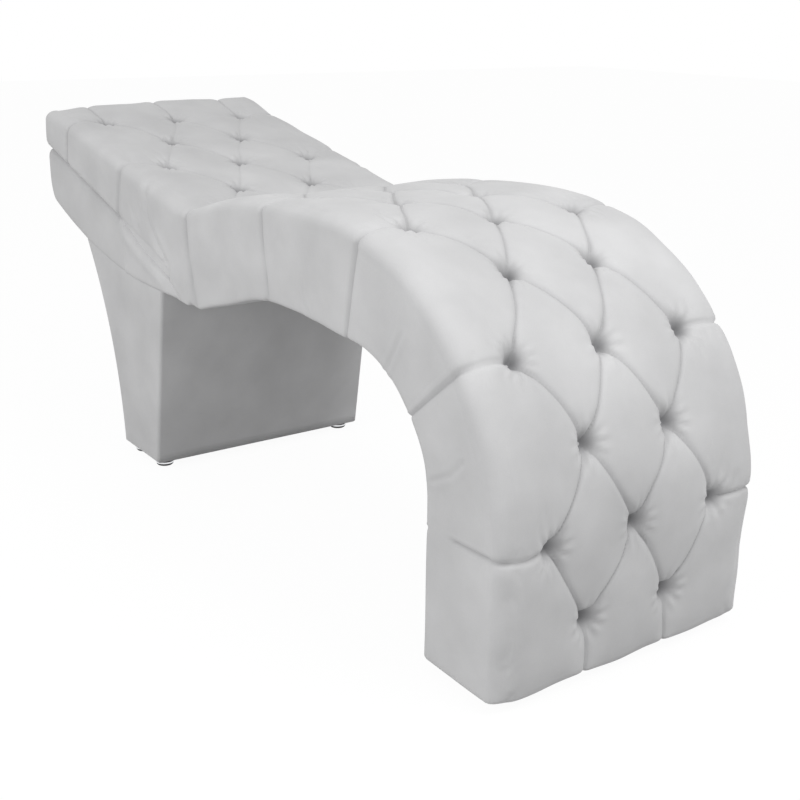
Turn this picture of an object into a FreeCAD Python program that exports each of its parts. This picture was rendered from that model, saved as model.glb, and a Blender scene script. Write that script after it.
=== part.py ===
"""Tufted velvet treatment bed: a wave-shaped body on a flared pedestal and a curved foot leg.

The back is a separate tufted pad on a board, hinged at the valley of the wave, above a fixed
lower panel.  Two toothed hinges with pawls hold it up.  +X points to the foot, +Y to the far side,
+Z up, and the origin is on the floor below the middle of the bed.  Millimetres and degrees.
"""
import FreeCAD, Part
import Sketcher
import math
import os
from FreeCAD import Placement, Rotation, Vector

doc = FreeCAD.newDocument("treatment_bed")
sheet = doc.addObject("Spreadsheet::Sheet", "sizes")
nodes = []

SIZES = [
    ("bed_width", 560, "outer width over the upholstery"),
    ("foot_face_x", 910, "front face of the foot leg"),
    ("floor_gap", 18, "height of the glides, and of every lower edge"),
    ("leg_straight", 232, "upright stretch of the foot face"),
    ("knee_radius", 450, "round of the foot end"),
    ("knee_turn", 68, "turn of the knee round, degrees"),
    ("shoulder_radius", 600, "round from the knee to the crest"),
    ("crest_length", 69, "level stretch on the crest"),
    ("rise_radius", 1500, "round from the crest down to the valley"),
    ("rise_turn", 16, "slope at the foot side of the valley, degrees"),
    ("valley_radius", 200, "hollow between seat and back"),
    ("back_slope", 11.2, "slope of the back at rest, degrees"),
    ("back_length", 738, "straight back from the valley to the head end"),
    ("leg_depth", 183, "foot leg from front to inner face"),
    ("leg_inner_height", 282, "upright inner face of the foot leg"),
    ("arch_radius", 230, "round of the arch"),
    ("arch_crown_length", 232, "level top of the arch"),
    ("belly_radius", 450, "round from the arch into the belly slope"),
    ("belly_low_x", 71.8, "low end of the belly's slope, head-wards of the origin"),
    ("panel_fold_depth", 69.7, "lower panel at the fold end of the back board"),
    ("belly_corner", 20, "round of the lowest edge"),
    ("panel_nose_x", 907.5, "nose of the lower panel, head-wards of the origin"),
    ("under_radius", 1473, "upward sweep of the lower head panel"),
    ("under_turn", 22.6, "turn of that sweep, degrees"),
    ("nose_radius", 40, "lower round of the head panel's nose"),
    ("bullnose_radius", 70, "upper round of the head panel's nose"),
    ("pad_depth", 70, "foam and cover on the wave"),
    ("foot_wrap", 30, "wave pad in front of the foot board"),
    ("deck_thickness", 6, "bent deck under the wave pad"),
    ("skin_thickness", 4, "bent skin of the arch"),
    ("lining_thickness", 3, "velvet on the arch"),
    ("cover_thickness", 4, "velvet on the sides"),
    ("ply_thickness", 18, "ribs, sides and base boards"),
    ("panel_thickness", 12, "pedestal panels and lower head board"),
    ("seat_gap", 0.3, "clearance at every curved seat"),
    ("foam_relief", 2, "foam left clear over a bent deck"),
    ("tuft_pitch", 184, "buttons apart across the bed"),
    ("first_row", 97, "lower edge of the foot to the first button row"),
    ("leg_row_pitch", 149, "button rows apart on the leg"),
    ("fold_row_pitch", 120, "button rows apart over the fold"),
    ("back_row_pitch", 174, "button rows apart on the back"),
    ("button_depth", 30, "buttons below the crown"),
    ("pleat_depth", 15, "pleats below the crown"),
    ("end_pleat_depth", 10, "pleats below the crown at the foot and head ends"),
    ("fold_pleat_depth", 24, "pleats below the crown at the fold"),
    ("button_radius", 11, "tuft button"),
    ("button_height", 7, "tuft button"),
    ("side_pleat", 5, "drawn-in side at a pleat"),
    ("edge_round", 22, "rounding of the pads' upper edges"),
    ("fold_after_valley", 7, "fold line beyond the hollow, along the back"),
    ("fold_half", 36, "fold foam to each side of the fold line"),
    ("fold_foam_depth", 45, "depth of the fold foam"),
    ("back_depth_fold", 122, "back pad at the fold"),
    ("back_depth_head", 73, "back pad at the head end"),
    ("back_board_thickness", 15, "back board"),
    ("back_cover_thickness", 3, "lining under the back board"),
    ("back_board_inset", 10, "back board inside its pad"),
    ("slit", 4, "gap between back and lower panel at rest"),
    ("panel_slit_x", 455, "end of the open slit, head-wards of the origin"),
    ("hinge_depth", 90, "hinge axis below the crown at the fold"),
    ("back_travel", 40, "tilt of the back, degrees"),
    ("notch_step", 8, "tilt from one notch to the next, degrees"),
    ("leaf_thickness", 4, "hinge plates"),
    ("leaf_gap", 0.5, "between the two plates of a hinge"),
    ("hinge_pin_radius", 5, "hinge pin"),
    ("pawl_pin_radius", 3, "pawl pin"),
    ("running_clearance", 0.05, "radial clearance of turning pins"),
    ("ratchet_radius", 40, "toothed disc of the fixed plate"),
    ("tooth_width", 2.4, "pawl tooth"),
    ("tooth_bite", 4, "pawl tooth in its notch"),
    ("notch_clearance", 0.5, "notch beyond the tooth on each side"),
    ("pawl_length", 38, "pawl pivot from the tip of its tooth"),
    ("pawl_release", 9, "turn of the pawl out of its notch, degrees"),
    ("screw_radius", 2.5, "wood screws"),
    ("screw_head_radius", 4.5, "wood screw heads"),
    ("screw_head_height", 3, "wood screw heads"),
    ("screw_length", 34, "wood screws under the head"),
    ("batten_width", 30, "cross battens along the bed"),
    ("batten_depth", 40, "cross battens, height"),
    ("bumper_radius", 10, "rubber bumpers in the slit"),
    ("pedestal_foot_x", 336, "foot-side lower edge of the pedestal, head-wards of the origin"),
    ("pedestal_depth", 189, "pedestal at the floor"),
    ("pedestal_lean", 9.2, "lean of the pedestal's foot-side face, degrees"),
    ("pedestal_flare_x", 167, "flare of the head-side face"),
    ("pedestal_flare_z", 481, "height of that flare"),
    ("pedestal_flare_bow", 36, "bow of the flare from its chord"),
    ("pedestal_inset", 3, "pedestal inside the bed's sides"),
    ("glide_radius", 22, "glide cup"),
    ("glide_sole_height", 6, "black sole of a glide"),
    ("glide_sole_radius", 20, "black sole of a glide"),
    ("glide_edge", 36, "glide axis from the edge that it supports"),
    ("glide_front_edge", 88, "foot glide axis from the foot face"),
    ("stem_radius", 4, "threaded stem of a glide"),
    ("stem_length", 26, "threaded stem above the cup"),
    ("nut_radius", 5.5, "barrel of a tee nut"),
    ("nut_flange_radius", 10, "flange of a tee nut"),
    ("nut_flange", 1.5, "flange thickness of a tee nut"),
]
for row, (alias, value, note) in enumerate(SIZES, start=1):
    sheet.set(f"A{row}", note)
    sheet.set(f"B{row}", str(value))
    sheet.setAlias(f"B{row}", alias)
doc.recompute()


def size(alias):
    """A driving dimension from the sheet."""
    return float(sheet.get(alias))


def rad(alias):
    """A driving angle from the sheet, in radians."""
    return math.radians(size(alias))


def polar(angle):
    """Unit vector in the XZ plane, turned from +X towards +Z."""
    return Vector(math.cos(angle), 0, math.sin(angle))


class Walk:
    """A line of straight and round stretches in the XZ plane, with the material on one side of it."""

    def __init__(self, start, heading, stretches, material_left):
        self.side = 1 if material_left else -1
        self.stretches = []
        walked = 0
        point = start
        for length, bend in stretches:
            self.stretches.append((walked, point, heading, bend))
            point, heading = self.along(point, heading, bend, length)
            walked += length
        self.total = walked
        self.end = point
        self.end_heading = heading

    @staticmethod
    def along(point, heading, bend, length):
        """Point and heading after a length on a stretch; bend is 1 / radius, positive to the left."""
        if bend == 0:
            return point + polar(heading) * length, heading
        turned = heading + bend * length
        centre = point + polar(heading + math.pi / 2) * (1 / bend)
        return centre - polar(turned + math.pi / 2) * (1 / bend), turned

    def at(self, walked):
        """Point, heading and bend at a walked length."""
        for begin, point, heading, bend in reversed(self.stretches):
            if walked >= begin or begin == 0:
                place, turned = self.along(point, heading, bend, walked - begin)
                return place, turned, bend

    def inward(self, walked):
        """Unit vector into the material."""
        return polar(self.at(walked)[1] + self.side * math.pi / 2)

    def point(self, walked, inset=0):
        """Point at a walked length, moved into the material."""
        return self.at(walked)[0] + self.inward(walked) * inset

    def run(self, begin, end, inset=0):
        """Edges from one walked length to another, as (start, end, edge)."""
        low, high = sorted((begin, end))
        breaks = [low] + [item[0] for item in self.stretches if low < item[0] < high] + [high]
        if begin > end:
            breaks.reverse()
        edges = []
        for first, last in zip(breaks, breaks[1:]):
            middle = (first + last) / 2
            a = self.point(first, inset)
            b = self.point(last, inset)
            if self.at(middle)[2] == 0:
                edges.append(straight(a, b))
            else:
                edges.append((a, b, Part.Arc(a, self.point(middle, inset), b).toShape()))
        return edges


def straight(a, b):
    """A straight edge as (start, end, edge)."""
    return a, b, Part.LineSegment(a, b).toShape()


def arc(radius, turn):
    """Length and bend of a round stretch; a positive turn goes left."""
    return radius * abs(turn), math.copysign(1 / radius, turn)


def face(edges):
    """Face inside a ring of edges, closed with straight links."""
    ring = []
    for current, following in zip(edges, edges[1:] + edges[:1]):
        ring.append(current[2])
        if current[1].distanceToPoint(following[0]) > 1e-6:
            ring.append(straight(current[1], following[0])[2])
    return Part.Face(Part.Wire(ring))


def polygon(points):
    """Face inside straight edges."""
    return Part.Face(Part.makePolygon(points + points[:1]))


def slab(flat, low, high):
    """A face in the XZ plane made solid from one Y to another."""
    solid = flat.extrude(Vector(0, high - low, 0))
    solid.translate(Vector(0, low, 0))
    return solid


def rod(start, direction, radius, length):
    """A round rod."""
    return Part.makeCylinder(radius, length, start, direction)


def add(label, shape, base=Vector()):
    """A sub-part whose shape is made here."""
    node = doc.addObject("Part::Feature", label)
    node.Label = label
    node.Shape = shape
    node.Placement = Placement(base, Rotation()).multiply(shape.Placement)
    nodes.append(node)
    return node


def bind(item, **expressions):
    """Ties properties of an object to the sheet; double underscores stand for dots."""
    for name, text in expressions.items():
        item.setExpression(name.replace("__", "."), text)
    return item


half_width = size("bed_width") / 2
gap = size("seat_gap")
ply = size("ply_thickness")
panel = size("panel_thickness")
floor_gap = size("floor_gap")
inner_half = half_width - size("cover_thickness")
rib_face = inner_half - ply
ALL_Y = Vector(0, 1, 0)

# The crown: the line of the pads' tops, walked from the foot over the crest to the head end.
shoulder_turn = math.pi / 2 - rad("knee_turn")
crown = Walk(
    Vector(size("foot_face_x"), 0, floor_gap),
    math.pi / 2,
    [
        (size("leg_straight"), 0),
        arc(size("knee_radius"), rad("knee_turn")),
        arc(size("shoulder_radius"), shoulder_turn),
        (size("crest_length"), 0),
        arc(size("rise_radius"), rad("rise_turn")),
        arc(size("valley_radius"), -rad("rise_turn") - rad("back_slope")),
        (size("back_length"), 0),
    ],
    True,
)
fold = crown.total - size("back_length") + size("fold_after_valley")
wave_end = fold - size("fold_half")
back_begin = fold + size("fold_half")

# The plane on which the back pad lies: its origin is at the fold end, its first axis runs to the head.
plane_origin = crown.point(back_begin, size("back_depth_fold"))
plane_head = crown.point(crown.total, size("back_depth_head"))
to_head = (plane_head - plane_origin).normalize()
off_board = Vector(-to_head.z, 0, to_head.x) * -1
plane_length = plane_origin.distanceToPoint(plane_head)
board_angle = math.atan2(to_head.z, -to_head.x)
board_turn = Rotation(Vector(0, 1, 0), math.degrees(board_angle))


def on_back(along, above, across=0):
    """Point given along the back, above the plane of its pad, and across the bed."""
    return plane_origin + to_head * along + off_board * above + Vector(0, across, 0)


# The underside, walked from the foot's inner edge through the arch, round the nose of the lower
# head panel and back along its top to the hinge.
shelf_drop = size("back_board_thickness") + size("back_cover_thickness") + size("slit")
under_start = Vector(size("foot_face_x") - size("leg_depth"), 0, floor_gap)
under_height = on_back(0, -shelf_drop).z - size("panel_fold_depth")
belly_drop = floor_gap + size("leg_inner_height") + size("arch_radius") - under_height
belly_run = under_start.x - size("arch_radius") - size("arch_crown_length") + size("belly_low_x")
bends = size("belly_radius") + size("belly_corner")
reach = math.hypot(belly_run, bends - belly_drop)
belly_slope = math.asin(bends / reach) - math.atan2(bends - belly_drop, belly_run)
belly_length = belly_run * math.cos(belly_slope) + (belly_drop - bends) * math.sin(belly_slope)
arch_steps = [
    (size("leg_inner_height"), 0),
    arc(size("arch_radius"), math.pi / 2),
    (size("arch_crown_length"), 0),
    arc(size("belly_radius"), belly_slope),
    (belly_length, 0),
    arc(size("belly_corner"), -belly_slope),
]
rising_steps = [
    arc(size("under_radius"), -rad("under_turn")),
    arc(size("nose_radius"), rad("under_turn") - math.pi / 2),
]
short_panel = Walk(under_start, math.pi / 2, arch_steps + rising_steps, False)
under_flat = short_panel.end.x + size("panel_nose_x")
under_steps = arch_steps + [(under_flat, 0)] + rising_steps
bullnose = arc(size("bullnose_radius"), -math.pi / 2 - board_angle)
nose_tip = Walk(under_start, math.pi / 2, under_steps, False)
flat_nose = Walk(under_start, math.pi / 2, under_steps + [bullnose], False)
nose_rise = (on_back(0, -shelf_drop) - flat_nose.end).dot(off_board) / math.cos(board_angle)
nose = Walk(under_start, math.pi / 2, under_steps + [(nose_rise, 0), bullnose], False)
shelf_length = (plane_origin - nose.end).dot(to_head * -1)
under = Walk(under_start, math.pi / 2, under_steps + [(nose_rise, 0), bullnose, (shelf_length, 0)], False)
shelf_begin = nose.total
skins = size("lining_thickness") + size("skin_thickness")


def shelf_corner(walked, inset):
    """Walked length on the panel's top below a point of the crown."""
    start = under.point(shelf_begin, inset)
    return shelf_begin + (crown.point(walked) - start).dot(polar(crown.at(walked)[1])) / (
        polar(under.end_heading).dot(polar(crown.at(walked)[1]))
    )


def body_face(top_inset, end_inset, shelf_inset, under_inset, lift):
    """The side outline of the fixed body under the pad, drawn in on each side."""
    end = wave_end - end_inset
    corner = shelf_corner(end, shelf_inset)
    edges = crown.run(lift, end, top_inset)
    edges += under.run(corner, shelf_begin, shelf_inset)
    edges += under.run(shelf_begin, lift, under_inset)
    return face(edges)


def band(walk, begin, end, near, far):
    """The face between two insets of a walk."""
    return face(walk.run(begin, end, near) + walk.run(end, begin, far))


def under_length_at(x):
    """Walked length of the underside where it passes below a given X, before the nose."""
    low = 0
    high = nose_tip.total
    while high - low > 1e-7:
        middle = (low + high) / 2
        if under.point(middle).x > x:
            low = middle
        else:
            high = middle
    return low


foot_lap = ply + gap

# Tuft rows along the crown: two buttons in the first row, then three and two in turn.  The rows of
# the seat share the length from the leg's last row to the valley's row.
SEAT_ROW_COUNT = 6
leg_rows = [size("first_row") + size("leg_row_pitch") * i for i in range(4)]
valley_spot = fold - size("fold_row_pitch") / 2
seat_pitch = (valley_spot - leg_rows[-1]) / SEAT_ROW_COUNT
seat_rows = [leg_rows[-1] + seat_pitch * (i + 1) for i in range(SEAT_ROW_COUNT)]
back_first = fold + size("fold_row_pitch") / 2
back_rows = [back_first + size("back_row_pitch") * i for i in range(4)]
ROWS = leg_rows + seat_rows + back_rows
WAVE_ROWS = range(len(leg_rows) + len(seat_rows))
BACK_ROWS = range(len(WAVE_ROWS), len(ROWS))
QUARTERS = range(-6, 7)
EDGE_QUARTER = 6
PLEAT_BESIDE_BUTTON = 0.55
RIM_SEAT = 0.92
BUTTON_CROWN = 0.6


def is_wide(row):
    """Rows with three buttons."""
    return row % 2 == 1


def button_quarters(row):
    """Buttons of a row, counted in quarter pitches from the middle."""
    return (-4, 0, 4) if is_wide(row) else (-2, 2)


def row_drop(row, quarter):
    """Depth of the cover below the crown on a button row."""
    if abs(quarter) == EDGE_QUARTER:
        return size("edge_round") / 3
    away = min(abs(quarter - button) for button in button_quarters(row))
    return {0: size("button_depth"), 1: size("pleat_depth") * PLEAT_BESIDE_BUTTON}.get(away, 0)


def pleat_drop(quarter):
    """Depth of the cover halfway between two rows, where the pleats cross."""
    if abs(quarter) == EDGE_QUARTER:
        return size("edge_round") / 3
    return size("pleat_depth") if abs(quarter) in (1, 3) else size("pleat_depth") / 5


def end_drop(row, quarter, pleat):
    """Depth of the cover at a pad's end, where the last row's pleats run out."""
    if abs(quarter) == EDGE_QUARTER:
        return size("edge_round") / 3
    return pleat if quarter in button_quarters(row) else 0


def section(walked, drops, depth, draw):
    """A cross-section of a tufted pad, square to the crown."""
    spot = crown.at(walked)[0]
    inward = crown.inward(walked)
    quarter = size("tuft_pitch") / 4
    side = half_width - draw
    shoulder = size("edge_round")
    middle = (shoulder + depth) / 2
    flank = [(side, shoulder), (side, middle), (side - 2, depth)]
    edge = half_width - shoulder / 3
    spots = [-edge] + [index * quarter for index in QUARTERS[1:-1]] + [edge]
    top = list(zip(spots, drops))
    ring = top + flank + [(-across, down) for across, down in reversed(flank)]
    points = [spot + inward * down + Vector(0, across, 0) for across, down in ring]
    return Part.makePolygon(points + points[:1])


def tufted(stations):
    """A pad lofted straight from section to section."""
    return Part.makeLoft([section(*station) for station in stations], True, True)


def row_stations(rows, depth_at):
    """Sections on each row and halfway to the next."""
    stations = []
    for row in rows:
        drops = [row_drop(row, quarter) for quarter in QUARTERS]
        draw = size("side_pleat") if is_wide(row) else 0
        stations.append((ROWS[row], drops, depth_at(ROWS[row]), draw))
        if row + 1 in rows:
            half = (ROWS[row] + ROWS[row + 1]) / 2
            stations.append((half, [pleat_drop(quarter) for quarter in QUARTERS], depth_at(half), 0))
    return stations


def end_station(walked, row, pleat, rounding, depth_at):
    """A section near a pad's end, lowered by the rounding of that end."""
    drops = [rounding + end_drop(row, quarter, pleat) for quarter in QUARTERS]
    return walked, drops, depth_at(walked), 0


def wave_depth(walked):
    """The wave pad lies just clear of its bent deck, and laps down over the foot board."""
    return size("foot_wrap") if walked <= foot_lap else size("pad_depth") - size("foam_relief")


def back_depth(walked):
    """The back pad tapers from the fold to the head end."""
    share = (walked - back_begin) / (crown.total - back_begin)
    return size("back_depth_fold") + share * (size("back_depth_head") - size("back_depth_fold"))


def fold_depth(walked):
    """The fold foam is a shallow wedge over the hinge."""
    return size("fold_foam_depth")


def dimple_rise(row):
    """Rise of the cover from the middle of a dimple to the rim of its button."""
    beside = row_drop(row, button_quarters(row)[0] + 1)
    across = (size("button_depth") - beside) / (size("tuft_pitch") / 4)
    neighbours = [ROWS[other] for other in (row - 1, row + 1) if 0 <= other < len(ROWS)]
    half = min(abs(ROWS[row] - other) for other in neighbours) / 2
    along = (size("button_depth") - pleat_drop(0)) / half
    return RIM_SEAT * size("button_radius") * math.hypot(across, along)


def make_buttons(label, rows):
    """One domed button at each tuft, seated in its dimple."""
    radius = size("button_radius")
    rise = size("button_height")
    rim = rise / 3
    crown_radius = radius * BUTTON_CROWN
    profile = Part.Wire([
        Part.makeLine(Vector(0, 0, 0), Vector(radius, 0, 0)),
        Part.makeLine(Vector(radius, 0, 0), Vector(radius, 0, rim)),
        Part.makeLine(Vector(radius, 0, rim), Vector(crown_radius, 0, rise)),
        Part.makeLine(Vector(crown_radius, 0, rise), Vector(0, 0, rise)),
        Part.makeLine(Vector(0, 0, rise), Vector(0, 0, 0)),
    ])
    button = Part.Face(profile).revolve(Vector(), Vector(0, 0, 1), 360)
    quarter = size("tuft_pitch") / 4
    copies = []
    for row in rows:
        out = crown.inward(ROWS[row]) * -1
        depth = size("button_depth") - dimple_rise(row) - gap
        for index in button_quarters(row):
            copy = button.copy()
            spot = crown.point(ROWS[row], depth) + Vector(0, index * quarter, 0)
            copy.Placement = Placement(spot, Rotation(Vector(0, 0, 1), out))
            copies.append(copy)
    add(label, Part.makeCompound(copies))


def make_pads():
    """Wave pad, fold foam and back pad with their buttons."""
    edge = size("edge_round")
    end_pleat = size("end_pleat_depth")
    fold_pleat = size("fold_pleat_depth")
    foot_row, valley_row = WAVE_ROWS[0], WAVE_ROWS[-1]
    waist_row, head_row = BACK_ROWS[0], BACK_ROWS[-1]
    add("wave_pad", tufted(
        [end_station(0, foot_row, end_pleat, edge / 4, wave_depth)]
        + [end_station(foot_lap, foot_row, end_pleat, 0, wave_depth)]
        + [end_station(foot_lap + size("foam_relief"), foot_row, end_pleat, 0, wave_depth)]
        + row_stations(WAVE_ROWS, wave_depth)
        + [end_station(wave_end, valley_row, fold_pleat, 0, wave_depth)]
    ))
    add("fold_foam", tufted([
        end_station(wave_end + gap, valley_row, fold_pleat, 0, fold_depth),
        (fold, [pleat_drop(quarter) for quarter in QUARTERS], fold_depth(fold), 0),
        end_station(back_begin - gap, waist_row, fold_pleat, 0, fold_depth),
    ]))
    pad = tufted(
        [end_station(back_begin, waist_row, fold_pleat, 0, back_depth)]
        + row_stations(BACK_ROWS, back_depth)
        + [end_station(crown.total - edge, head_row, end_pleat, 0, back_depth)]
        + [end_station(crown.total, head_row, end_pleat, edge, back_depth)]
    )
    for side in (-1, 1):
        pad = pad.cut(hinge_pocket(side))
    add("backrest_pad", pad)
    make_buttons("wave_buttons", WAVE_ROWS)
    make_buttons("backrest_buttons", BACK_ROWS)


# The hinges: a fixed plate with a toothed disc, a moving plate and a pawl at each side.
hinge = crown.point(fold, size("hinge_depth"))
hinge_along = (hinge - plane_origin).dot(to_head)
hinge_above = (hinge - plane_origin).dot(off_board)
leaf = size("leaf_thickness")
fixed_outer = rib_face
fixed_inner = fixed_outer - leaf
moving_outer = fixed_inner - size("leaf_gap")
moving_inner = moving_outer - leaf
FLANGE_WIDTH = 30
FLANGE_LENGTH = 120
FLANGE_SCREWS = (30, 65, 100)
TONGUE_LENGTH = 150
TONGUE_SCREWS = (85, 110, 135)
TONGUE_TOP = 4
TONGUE_BOTTOM = 40
TONGUE_SCREW_DROP = 18
PAWL_TIP_ANGLE = math.radians(-22)
PAWL_STANDOFF = 5.5
PAWL_ARM = 7
PAWL_BOSS = 9
PAWL_PLAY = 0.2
PLATE_MARGIN = 10
PIN_HEAD = 4
PIN_HEAD_EXTRA = 4
POCKET_MARGIN = 4


def by_hinge(radius, angle):
    """Point round the hinge axis, with angles from the back's own direction upwards."""
    return hinge + to_head * (radius * math.cos(angle)) + off_board * (radius * math.sin(angle))


pawl_tip = by_hinge(size("ratchet_radius") - size("tooth_bite"), PAWL_TIP_ANGLE)
bite = (hinge - pawl_tip).normalize()
pawl_pivot = pawl_tip + Vector(bite.z, 0, -bite.x) * -size("pawl_length")
tooth_length = size("tooth_bite") + PAWL_STANDOFF
pawl_root = pawl_tip - bite * tooth_length
pawl_arm = pawl_root - pawl_pivot
pawl_along = (pawl_pivot - plane_origin).dot(to_head)
pawl_above = (pawl_pivot - plane_origin).dot(off_board)
across_bite = Vector(bite.z, 0, -bite.x)


def spread(side, inner, outer):
    """Lower and upper Y of a layer on one side of the bed."""
    return sorted((side * inner, side * outer))


def along_bite(begin, end, width):
    """A straight tooth or slot along the pawl's bite."""
    shift = across_bite * (width / 2)
    near = pawl_root + bite * begin
    far = pawl_root + bite * end
    return polygon([near - shift, far - shift, far + shift, near + shift])


def disc(centre, radius):
    """A round face in the XZ plane."""
    return Part.Face(Part.Wire(Part.makeCircle(radius, centre, ALL_Y)))


def hinge_pocket(side):
    """Room in the back pad for the moving plate, its flange and the pawl."""
    low, high = spread(side, moving_outer - leaf - FLANGE_WIDTH - POCKET_MARGIN, inner_half - POCKET_MARGIN)
    top = pawl_above + PAWL_BOSS + PLATE_MARGIN
    begin = hinge_along - size("ratchet_radius")
    end = FLANGE_LENGTH + POCKET_MARGIN * 5
    corners = [on_back(begin, -1), on_back(end, -1), on_back(end, top), on_back(begin, top)]
    return slab(polygon(corners), low, high)


def tongue_screw_spots(side):
    """Screws of a fixed plate, on its inner face."""
    drop = Vector(0, side * fixed_inner, -TONGUE_SCREW_DROP)
    return [hinge + Vector(reach, 0, 0) + drop for reach in TONGUE_SCREWS]


def wood_screw(spot, direction, length):
    """A screw with a flat head standing on a surface; direction points into the wood."""
    shank = rod(spot, direction, size("screw_radius"), length)
    head = rod(spot - direction * size("screw_head_height"), direction,
               size("screw_head_radius"), size("screw_head_height"))
    return shank.fuse(head).removeSplitter()


def screw_hole(spot, direction, length):
    """The hole of a wood screw."""
    return rod(spot, direction, size("screw_radius") + size("running_clearance"), length + 1)


def make_hinge(name, side):
    """One toothed hinge."""
    low, high = spread(side, fixed_inner, fixed_outer)
    clearance = size("running_clearance")
    outward = Vector(0, side, 0)
    tongue = polygon([
        hinge + Vector(0, 0, TONGUE_TOP),
        hinge + Vector(TONGUE_LENGTH, 0, TONGUE_TOP),
        hinge + Vector(TONGUE_LENGTH, 0, -TONGUE_BOTTOM),
        hinge + Vector(0, 0, -TONGUE_BOTTOM),
    ])
    fixed = slab(disc(hinge, size("ratchet_radius")), low, high).fuse(slab(tongue, low, high))
    slot_width = size("tooth_width") + 2 * size("notch_clearance")
    slot = slab(along_bite(0, tooth_length + size("notch_clearance"), slot_width), low - 1, high + 1)
    for step in range(int(round(size("back_travel") / size("notch_step"))) + 1):
        notch = slot.copy()
        notch.rotate(hinge, ALL_Y, step * size("notch_step"))
        fixed = fixed.cut(notch)
    through = low - 1
    bore = rod(Vector(hinge.x, through, hinge.z), ALL_Y, size("hinge_pin_radius") + clearance, leaf + 2)
    fixed = fixed.cut(bore)
    for spot in tongue_screw_spots(side):
        fixed = fixed.cut(rod(spot - outward, outward, size("screw_radius") + clearance, leaf + 2))
    add("hinge_base_leaf_" + name, fixed.removeSplitter())

    low, high = spread(side, moving_inner, moving_outer)
    top = pawl_above + PLATE_MARGIN
    bottom = max(hinge_above - size("hinge_pin_radius") * 4, 1)
    arm = polygon([
        on_back(0, 0),
        on_back(FLANGE_LENGTH, 0),
        on_back(FLANGE_LENGTH, leaf * 4),
        on_back(pawl_along + PLATE_MARGIN, top),
        on_back(hinge_along, top),
        on_back(hinge_along, bottom),
        on_back(0, bottom),
    ])
    moving = slab(arm, low, high).fuse(slab(disc(hinge, hinge_above - bottom), low, high))
    flange_low, flange_high = spread(side, moving_inner - FLANGE_WIDTH, moving_inner)
    flange_ends = [(0, 0), (FLANGE_LENGTH, 0), (FLANGE_LENGTH, leaf), (0, leaf)]
    flange = polygon([on_back(along, above) for along, above in flange_ends])
    moving = moving.fuse(slab(flange, flange_low, flange_high))
    for centre, radius in ((hinge, size("hinge_pin_radius")), (pawl_pivot, size("pawl_pin_radius"))):
        moving = moving.cut(rod(Vector(centre.x, low - 1, centre.z), ALL_Y, radius + clearance, leaf + 2))
    for spot in flange_screw_spots(side):
        moving = moving.cut(screw_hole(spot + off_board, off_board * -1, leaf + 1))
    add("hinge_moving_leaf_" + name, moving.removeSplitter())

    pin = rod(Vector(hinge.x, side * (moving_inner - gap), hinge.z), outward, size("hinge_pin_radius"),
              fixed_outer - moving_inner + gap)
    pin_head = rod(Vector(hinge.x, side * (moving_inner - gap), hinge.z), outward * -1,
                   size("hinge_pin_radius") + PIN_HEAD_EXTRA, PIN_HEAD)
    add("hinge_pin_" + name, pin.fuse(pin_head).removeSplitter())

    pivot = Vector(pawl_pivot.x, side * moving_inner, pawl_pivot.z)
    pivot_length = fixed_outer - moving_inner + gap
    inner_head = rod(pivot, outward * -1, size("pawl_pin_radius") * 1.8, PIN_HEAD / 2)
    outer_head = rod(pivot + outward * pivot_length, outward, size("pawl_pin_radius") * 1.8, PIN_HEAD / 2)
    pawl_pin = rod(pivot, outward, size("pawl_pin_radius"), pivot_length).fuse([inner_head, outer_head])
    add("pawl_pin_" + name, pawl_pin.removeSplitter())

    low, high = spread(side, fixed_inner + PAWL_PLAY, fixed_outer - PAWL_PLAY)
    beam = Vector(pawl_arm.z, 0, -pawl_arm.x).normalize() * (PAWL_ARM / 2)
    tip = pawl_root + pawl_arm * (PAWL_ARM / 2 / pawl_arm.Length)
    lever = polygon([pawl_pivot - beam, tip - beam, tip + beam, pawl_pivot + beam])
    pawl = slab(disc(pawl_pivot, PAWL_BOSS), low, high).fuse(slab(lever, low, high))
    pawl = pawl.fuse(slab(along_bite(0, tooth_length, size("tooth_width")), low, high))
    pawl = pawl.cut(rod(Vector(pawl_pivot.x, low - 1, pawl_pivot.z), ALL_Y,
                        size("pawl_pin_radius") + clearance, leaf + 2)).removeSplitter()
    pawl.rotate(pawl_pivot, ALL_Y, size("pawl_release"))
    add("ratchet_pawl_" + name, pawl)


def flange_screw_spots(side):
    """Screws of a moving plate, on its flange."""
    across = side * (moving_inner - FLANGE_WIDTH / 2)
    return [on_back(reach, leaf, across) for reach in FLANGE_SCREWS]


def flange_screw_length():
    """Flange screws end inside the board."""
    return leaf + size("back_board_thickness") * 0.8


def make_back():
    """Back board, its lining and the screws of the hinges."""
    inset = size("back_board_inset")
    thickness = size("back_board_thickness")
    far_end = plane_length - inset
    corners = [(0, 0), (far_end, 0), (far_end, -thickness), (0, -thickness)]
    flat = polygon([on_back(along, above) for along, above in corners])
    board = slab(flat, inset - half_width, half_width - inset)
    screws = []
    for side in (-1, 1):
        for spot in flange_screw_spots(side):
            screws.append(wood_screw(spot, off_board * -1, flange_screw_length()))
            board = board.cut(screw_hole(spot, off_board * -1, flange_screw_length()))
    add("backrest_board", board)
    add("hinge_leaf_screws", Part.makeCompound(screws))
    cover = doc.addObject("Part::Box", "backrest_back_cover")
    cover.Label = "backrest_back_cover"
    bind(cover, Width="sizes.bed_width - 2 * sizes.back_board_inset", Height="sizes.back_cover_thickness")
    cover.Length = far_end
    corner = on_back(far_end, -thickness - size("back_cover_thickness"), inset - half_width)
    cover.Placement = Placement(corner, board_turn)
    nodes.append(cover)


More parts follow.
